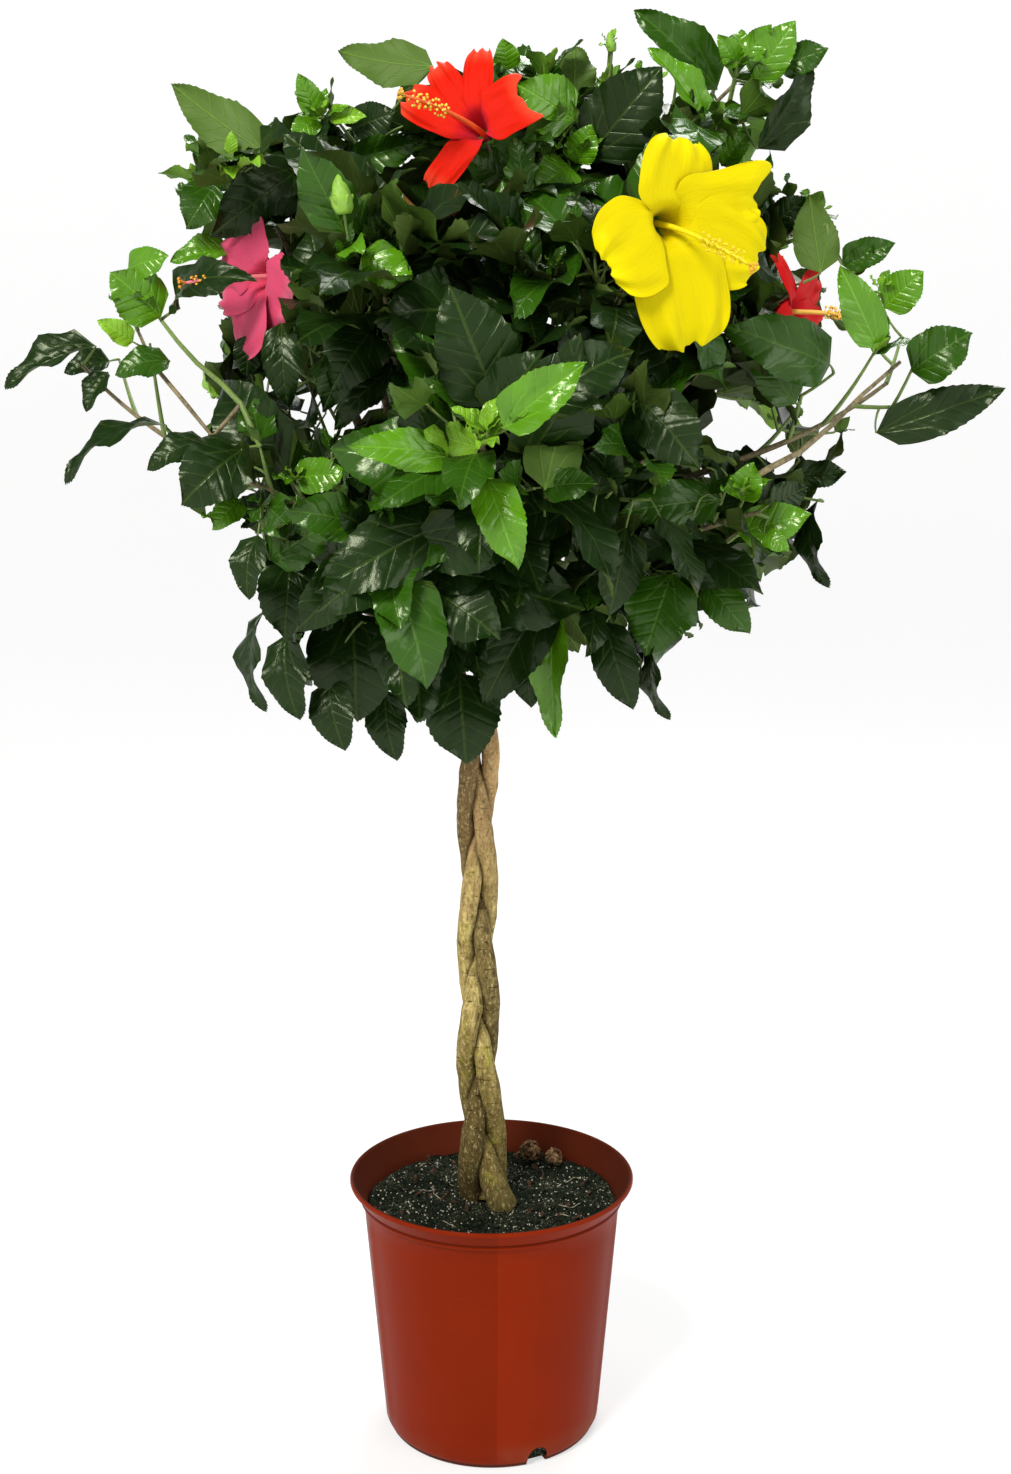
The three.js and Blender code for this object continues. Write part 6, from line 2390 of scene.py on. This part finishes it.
def column_parts(flower, seed):
    """The column, its anthers on their threads, and the stigma's five pads."""
    random = SeededRandom(seed)
    line = column_line(flower)
    column = Builder()
    anthers = Builder()
    stigma = Builder()
    places = shares(26)
    swell = [
        COLUMN_RADIUS * mix(1.25, 0.62, share) * (1 - 0.3 * smoothstep(0.97, 1, share))
        for share in places
    ]
    column.bar([line(share) for share in places], swell, 12)
    for index in range(ANTHER_COUNT):
        share = mix(0.58, 0.93, (index + random() * 0.6) / ANTHER_COUNT)
        centre = line(share)
        axis = (line(min(share + 0.02, 1)) - line(share - 0.02)).normalized()
        out = square_to(axis, index * GOLDEN_ANGLE + random())
        way = (out + axis * random.between(0.1, 0.6)).normalized()
        reach = random.between(3.6, 6.4)
        column.bar([centre, centre + way * reach * 0.5, centre + way * reach], 0.28, 4)
        add_capsule(anthers, centre + way * reach - axis * 1.1, axis, 2.3, 1.15)
    end = line(1)
    axis = (end - line(0.96)).normalized()
    for turn in round_turns(STIGMA_COUNT):
        way = (axis + square_to(axis, turn) * 0.75).normalized()
        tip = end + way * 5.2
        stigma.bar([end - axis, end + way * 2.4, tip], 0.5, 6)
        add_capsule(stigma, tip - way * 0.6, way, 2.6, 1.7, 8)
    return column, anthers, stigma


def add_calyx(builder, flower):
    """The green cup behind the petals, its five points and the narrow lobes under it."""
    facing = flower.facing
    foot = flower.throat - facing * flower.radius * TUBE_SHARE * 1.25
    reach = flower.radius * 0.26
    centres = [foot + facing * reach * share for share in shares(7)]
    builder.bar(centres, [2.0, 3.6, 4.2, 4.4, 4.4, 4.2, 3.8, 3.0], 20)
    taper = [2.8, 2.6, 2.2, 1.6, 0.9, 0.25]
    for angle in round_turns(5):
        out = flower.out(angle)
        start = foot + facing * reach * 0.7 + out * 3.8
        tip = start + facing * reach * 0.8 + out * 6
        middle = start.lerp(tip, 0.5) + out * 1.5
        line = [bezier((start, middle, tip), share) for share in shares(5)]
        builder.bar(line, lambda ring, turn: taper[ring] * (0.45 + 0.55 * abs(math.cos(turn))), 8)
        out = flower.out(angle + 0.6)
        line = [
            foot + facing * 1.5 + out * (2 + 1.5 * step) + facing * (step * step * 0.35)
            for step in range(5)
        ]
        builder.bar(line, [1.0 - 0.18 * step for step in range(5)], 6)


# A flower's colours besides its petals': throat, edge of the petals, column and anthers
FLOWER_FINISHES = {
    "yellow": [(0.52, 0.4, 0.0), (0.76, 0.68, 0.0), (0.7, 0.57, 0.0), (0.84, 0.6, 0.02)],
    "red": [(0.5, 0.02, 0.06), (0.9, 0.12, 0.05), (0.85, 0.12, 0.02), (0.9, 0.62, 0.06)],
    "pink": [(0.5, 0.01, 0.02), (0.8, 0.27, 0.36), (0.75, 0.18, 0.2), (0.85, 0.42, 0.04)],
    "scarlet": [(0.4, 0.01, 0.03), (0.85, 0.07, 0.05), (0.85, 0.5, 0.08), (0.9, 0.6, 0.08)],
}


def make_flower(flower, colour):
    """One flower: its petals, its column with anthers and stigma, each a piece of its own."""
    label = flower.label
    slot = f"{label}_petals"
    throat_colour, edge_colour, column_colour, anther_colour = FLOWER_FINISHES[label]
    builder = Builder()
    coordinates = []
    for index, (petal, petal_frame) in enumerate(zip(flower.petals, petal_frames(flower))):
        seed = FIRST_SEED + index * SEED_STEP + len(label)
        points, faces, places = petal_grid(flower, petal, petal_frame, seed)
        builder.add(points, faces)
        coordinates.extend(places)
    mesh = mesh_of(slot, builder.points, builder.faces)
    layer = mesh.uv_layers.new(name="blade")
    for loop in mesh.loops:
        layer.data[loop.index].uv = coordinates[loop.vertex_index]
    skin = petal_surface(f"{label} petals", colour, throat_colour, edge_colour)
    petals = new_piece(slot, mesh, skin)
    add_wall(petals)
    smooth = petals.modifiers.new("smooth", "SUBSURF")
    smooth.levels = 1
    smooth.render_levels = 1
    finish_piece(petals, slot, flower.mass.name)
    column, anthers, stigma = column_parts(flower, FIRST_SEED + len(label))
    stigma_red = toward(anther_colour, (0.8, 0.1, 0.03), 0.5)
    parts = [
        ("column", column, shade(column_colour, 0.9), shade(column_colour, 1.1), 160.0),
        ("anthers", anthers, shade(anther_colour, 0.75), shade(anther_colour, 1.1), 700.0),
        ("stigma", stigma, shade(anther_colour, 0.6), stigma_red, 600.0),
    ]
    for part, shape, low, high, scale in parts:
        material = small_part_surface(f"{label} {part}", low, high, scale, 0.55)
        shape.piece(f"{label}_{part}", material, slot)


def make_flowers(colours):
    calyces = Builder()
    for flower in FLOWERS:
        make_flower(flower, getattr(colours, flower.label))
        add_calyx(calyces, flower)
    green = small_part_surface("calyx green", (0.06, 0.13, 0.02), (0.16, 0.27, 0.05), 240.0, 0.5)
    calyces.piece("calyces", green, "foliage")


# Buds that show in the photograph, in its pixels: the foot, the tip and how wide the bud looks
Bud = namedtuple("Bud", "foot tip width")
BUDS = [Bud(*row) for row in [
    ((344, 214), (338, 174), 21), ((553, 318), (553, 296), 10), ((612, 52), (609, 32), 10),
]]


def make_buds(crown, colours):
    """Pointed buds with twisted folds, each on its stalk and in its small cup."""
    buds = Builder()
    stalks = []
    places = shares(13)
    for bud in BUDS:
        across, down = bud.foot
        carrier = crown.carrier_of(across, down + 40)
        foot = from_pixel(across, down, carrier.y - 12)
        tip = from_pixel(*bud.tip, carrier.y - 14)
        way = (tip - foot).normalized()
        length = (tip - foot).length
        radius = bud.width / 2 / FOCAL_PIXELS * to_pixel(foot)[2]

        def radius_at(ring, turn):
            share = places[ring]
            body = math.sin(math.pi * (0.12 + share * 0.86) ** 0.75) ** 0.7 if share < 1 else 0.1
            folds = 1 + 0.1 * math.cos(5 * (turn + share * 2.4))
            return max(radius * body * folds, 0.25)

        buds.bar([foot + way * length * share for share in places], radius_at, 20)
        for turn in round_turns(5):
            out = square_to(way, turn)
            line = [
                foot - way + out * radius * part + way * length * part * 0.45
                for part in (0.3, 0.8, 1.05, 1.12, 1.1)
            ]
            buds.bar(line, [radius * (0.34 - 0.07 * step) for step in range(5)], 6)
        middle = foot.lerp(carrier, 0.5) - way * 4
        stalks.append([(bezier((carrier, middle, foot), share), 1.15) for share in shares(8)])
    skin = small_part_surface("bud green", colours.twig_green, shade(colours.leaf_young, 1.2), 200.0, 0.48)
    buds.piece("buds", skin, "foliage")
    twig_piece("bud_stalks", stalks, 6, green_bark("bud stalk green", colours, 0.45), "foliage")


# Stage

# The floor in metres: how far it is level, the radius of its curve, and the height of its rim
FLOOR_LEVEL = 4.6
FLOOR_CURVE = 2.4
FLOOR_RIM = 3.2
FLOOR_SEGMENTS = 96


def make_stage(stage):
    """A pale floor that curves up all round, soft lights, and the camera where the photo's was."""
    profile = [(radius, 0.0) for radius in (0.0, 0.5, 1.2, 2.2, 3.4, FLOOR_LEVEL)]
    for turn in [math.pi / 2 * share for share in shares(12)[1:]]:
        rise = FLOOR_CURVE - FLOOR_CURVE * math.cos(turn)
        profile.append((FLOOR_LEVEL + FLOOR_CURVE * math.sin(turn), rise))
    profile.append((FLOOR_LEVEL + FLOOR_CURVE, FLOOR_RIM))
    points = []
    faces = []
    for radius, height in profile:
        if points:
            faces += band(len(points) - FLOOR_SEGMENTS, len(points), FLOOR_SEGMENTS)
        points += [round_point(radius, turn, height) / MM for turn in round_turns(FLOOR_SEGMENTS)]
    mesh = mesh_of("pale_floor", points, faces)
    clean(mesh, outward=False)
    floor = new_piece("pale_floor", mesh, floor_paint())

    scene = bpy.context.scene
    scene.view_settings.view_transform = "Standard"
    world = bpy.data.worlds.new("pale room")
    world.use_nodes = True
    background = world.node_tree.nodes["Background"]
    background.inputs["Color"].default_value = (0.93, 0.96, 1.0, 1)
    background.inputs["Strength"].default_value = stage.room_strength
    scene.world = world
    lights = [
        ("key", (-1.3, -2.3, 3.2), 1.2, stage.key_power * 1.14, (1.0, 0.98, 0.94)),
        ("fill", (2.5, -2.0, 1.7), 2.4, stage.key_power * 0.3, (0.95, 0.98, 1.0)),
        ("top", (0.5, 1.5, 3.0), 1.8, stage.key_power * 0.6, (1.0, 1.0, 1.0)),
    ]
    centre = Vector((0, 0, 0.75))
    for name, place, size, power, colour in lights:
        light = bpy.data.lights.new(name, "AREA")
        light.shape = "DISK"
        light.size = size
        light.energy = power
        light.color = colour
        lamp = new_object(name, light)
        lamp.location = place
        lamp.rotation_euler = (centre - Vector(place)).to_track_quat("-Z", "Y").to_euler()
    camera = bpy.data.cameras.new("camera")
    camera.sensor_width = SENSOR
    camera.lens = FOCAL_PIXELS * SENSOR / FRAME_HEIGHT
    view = new_object("camera", camera)
    view.location = CAMERA_PLACE * MM
    view.rotation_euler = (math.pi / 2 - CAMERA_PITCH, 0, 0)
    scene.camera = view


# Settings, operators and panel


def amount(label, use, default, low, high, subtype="NONE"):
    return FloatProperty(
        name=label, description=use, default=default, min=low, max=high, subtype=subtype
    )


def colour(label, use, default):
    return FloatVectorProperty(
        name=label, description=use, default=default, size=3, min=0, max=1, subtype="COLOR"
    )


class HibiscusSizes(bpy.types.PropertyGroup):
    """Sizes and amounts."""

    leaf_length: amount(
        "Leaf length", "Blade of a full-grown leaf", LEAF_LENGTH * MM, 0.05, 0.16, "DISTANCE"
    )
    leaf_width_share: amount(
        "Leaf width", "Width of a blade as a share of its length", LEAF_WIDTH_SHARE, 0.3, 0.9, "FACTOR"
    )
    leaves_apart: amount(
        "Leaves apart", "Least distance between the middles of two leaves", LEAST_APART * MM,
        0.01, 0.06, "DISTANCE",
    )
    bark_relief: amount("Bark relief", "How rough the stems' bark is, 1 for the real one", 1, 0, 2)
    perlite_density: amount("Perlite", "Perlite beads on a square metre of soil", 22000, 0, 60000)
    chip_density: amount("Bark chips", "Bark chips on a square metre of soil", 1100, 0, 10000)
    crumb_density: amount("Crumbs", "Dark crumbs on a square metre of soil", 26000, 0, 80000)


class HibiscusColours(bpy.types.PropertyGroup):
    """Colours of the plant and its pot."""

    pot: colour("Pot", "Moulded pot", (0.19, 0.0155, 0.003))
    soil: colour("Soil", "Moist potting mix", (0.004, 0.008, 0.004))
    bark_tan: colour("Tan bark", "Smooth bark near the crown", (0.39, 0.25, 0.108))
    bark_olive: colour("Olive bark", "Streaked bark lower down", (0.165, 0.117, 0.028))
    bark_moss: colour("Mossy bark", "Yellow-green mottling", (0.3, 0.27, 0.04))
    bough_dark: colour("Dark bough", "Shaded bark of boughs", (0.09, 0.075, 0.035))
    bough_light: colour("Light bough", "Pale bark of boughs", (0.25, 0.2, 0.1))
    twig_green: colour("Green twigs", "Young twigs and leaf stalks", (0.17, 0.26, 0.06))
    leaf_deep: colour("Deep leaves", "Old shaded leaves", (0.0075, 0.023, 0.003))
    leaf_green: colour("Green leaves", "Full-grown leaves", (0.022, 0.076, 0.003))
    leaf_bright: colour("Bright leaves", "Leaves near the tips", (0.08, 0.23, 0.004))
    leaf_young: colour("Young leaves", "Smallest leaves at the tips", (0.2, 0.42, 0.02))
    yellow: colour("Yellow petals", "The largest flower", (0.61, 0.5, 0.0))
    red: colour("Red petals", "The top flower", (0.6, 0.01, 0.001))
    pink: colour("Pink petals", "The flower on the left", (0.6, 0.065, 0.14))
    scarlet: colour("Scarlet petals", "The flower on the right", (0.6, 0.008, 0.008))


class HibiscusStage(bpy.types.PropertyGroup):
    """Light on the stage."""

    key_power: amount("Key light", "Power of the main soft light", 118, 0, 1000, "POWER")
    room_strength: amount("Room light", "Strength of the pale room's light", 0.2, 0, 5)


class HIBISCUS_OT_pot(bpy.types.Operator):
    """Makes the moulded nursery pot with its lip and drain holes."""

    bl_idname = "hibiscus.pot"
    bl_label = "Pot"

    def execute(self, context):
        make_pot(context.scene.hibiscus_colours)
        return {"FINISHED"}


class HIBISCUS_OT_soil(bpy.types.Operator):
    """Makes the potting mix that fills the pot."""

    bl_idname = "hibiscus.soil"
    bl_label = "Soil"

    def execute(self, context):
        make_soil(context.scene.hibiscus_colours)
        return {"FINISHED"}


class HIBISCUS_OT_litter(bpy.types.Operator):
    """Strews perlite, bark chips, crumbs, roots and dry scraps over the soil."""

    bl_idname = "hibiscus.litter"
    bl_label = "Litter on the soil"

    def execute(self, context):
        make_litter(context.scene.hibiscus_sizes)
        return {"FINISHED"}


class HIBISCUS_OT_stems(bpy.types.Operator):
    """Makes the three braided stems with their bark."""

    bl_idname = "hibiscus.stems"
    bl_label = "Stems"

    def execute(self, context):
        make_stems(context.scene.hibiscus_sizes, context.scene.hibiscus_colours)
        return {"FINISHED"}


class HIBISCUS_OT_boughs(bpy.types.Operator):
    """Makes the boughs that leave the three leaders."""

    bl_idname = "hibiscus.boughs"
    bl_label = "Boughs"

    def execute(self, context):
        make_boughs(context.scene.hibiscus_colours)
        return {"FINISHED"}


class HIBISCUS_OT_twigs(bpy.types.Operator):
    """Grows the shoots, finer twigs and leaf stalks."""

    bl_idname = "hibiscus.twigs"
    bl_label = "Twigs"

    def execute(self, context):
        make_twigs(grown_crown(context), context.scene.hibiscus_colours)
        return {"FINISHED"}


class HIBISCUS_OT_leaves(bpy.types.Operator):
    """Grows the leaves in four tones."""

    bl_idname = "hibiscus.leaves"
    bl_label = "Leaves"

    def execute(self, context):
        scene = context.scene
        make_leaves(grown_crown(context), scene.hibiscus_sizes, scene.hibiscus_colours)
        return {"FINISHED"}


class HIBISCUS_OT_flowers(bpy.types.Operator):
    """Makes the four flowers."""

    bl_idname = "hibiscus.flowers"
    bl_label = "Flowers"

    def execute(self, context):
        make_flowers(context.scene.hibiscus_colours)
        return {"FINISHED"}


class HIBISCUS_OT_buds(bpy.types.Operator):
    """Makes the buds."""

    bl_idname = "hibiscus.buds"
    bl_label = "Buds"

    def execute(self, context):
        make_buds(grown_crown(context), context.scene.hibiscus_colours)
        return {"FINISHED"}


class HIBISCUS_OT_stage(bpy.types.Operator):
    """Makes the pale floor, the lights and the camera."""

    bl_idname = "hibiscus.stage"
    bl_label = "Stage"

    def execute(self, context):
        make_stage(context.scene.hibiscus_stage)
        return {"FINISHED"}


OPERATORS = [
    HIBISCUS_OT_pot,
    HIBISCUS_OT_soil,
    HIBISCUS_OT_litter,
    HIBISCUS_OT_stems,
    HIBISCUS_OT_boughs,
    HIBISCUS_OT_twigs,
    HIBISCUS_OT_leaves,
    HIBISCUS_OT_flowers,
    HIBISCUS_OT_buds,
    HIBISCUS_OT_stage,
]
SETTINGS = {
    "hibiscus_sizes": HibiscusSizes,
    "hibiscus_colours": HibiscusColours,
    "hibiscus_stage": HibiscusStage,
}


class HIBISCUS_PT_panel(bpy.types.Panel):
    """Lists the settings and the operators."""

    bl_idname = "HIBISCUS_PT_panel"
    bl_label = "Hibiscus standard"
    bl_space_type = "VIEW_3D"
    bl_region_type = "UI"
    bl_category = "Hibiscus"

    def draw(self, context):
        for name, group in SETTINGS.items():
            box = self.layout.box()
            settings = getattr(context.scene, name)
            for label in group.__annotations__:
                box.prop(settings, label)
        for operator in OPERATORS:
            self.layout.operator(operator.bl_idname)


CLASSES = [*SETTINGS.values(), *OPERATORS, HIBISCUS_PT_panel]


def register():
    for kind in CLASSES:
        bpy.utils.register_class(kind)
    for name, group in SETTINGS.items():
        setattr(bpy.types.Scene, name, PointerProperty(type=group))


def unregister():
    for name in SETTINGS:
        delattr(bpy.types.Scene, name)
    for kind in reversed(CLASSES):
        bpy.utils.unregister_class(kind)


def main():
    register()
    bpy.ops.hibiscus.pot()
    bpy.ops.hibiscus.soil()
    bpy.ops.hibiscus.litter()
    bpy.ops.hibiscus.stems()
    bpy.ops.hibiscus.boughs()
    bpy.ops.hibiscus.twigs()
    bpy.ops.hibiscus.leaves()
    bpy.ops.hibiscus.flowers()
    bpy.ops.hibiscus.buds()
    bpy.ops.hibiscus.stage()
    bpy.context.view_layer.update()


if __name__ == "__main__":
    main()
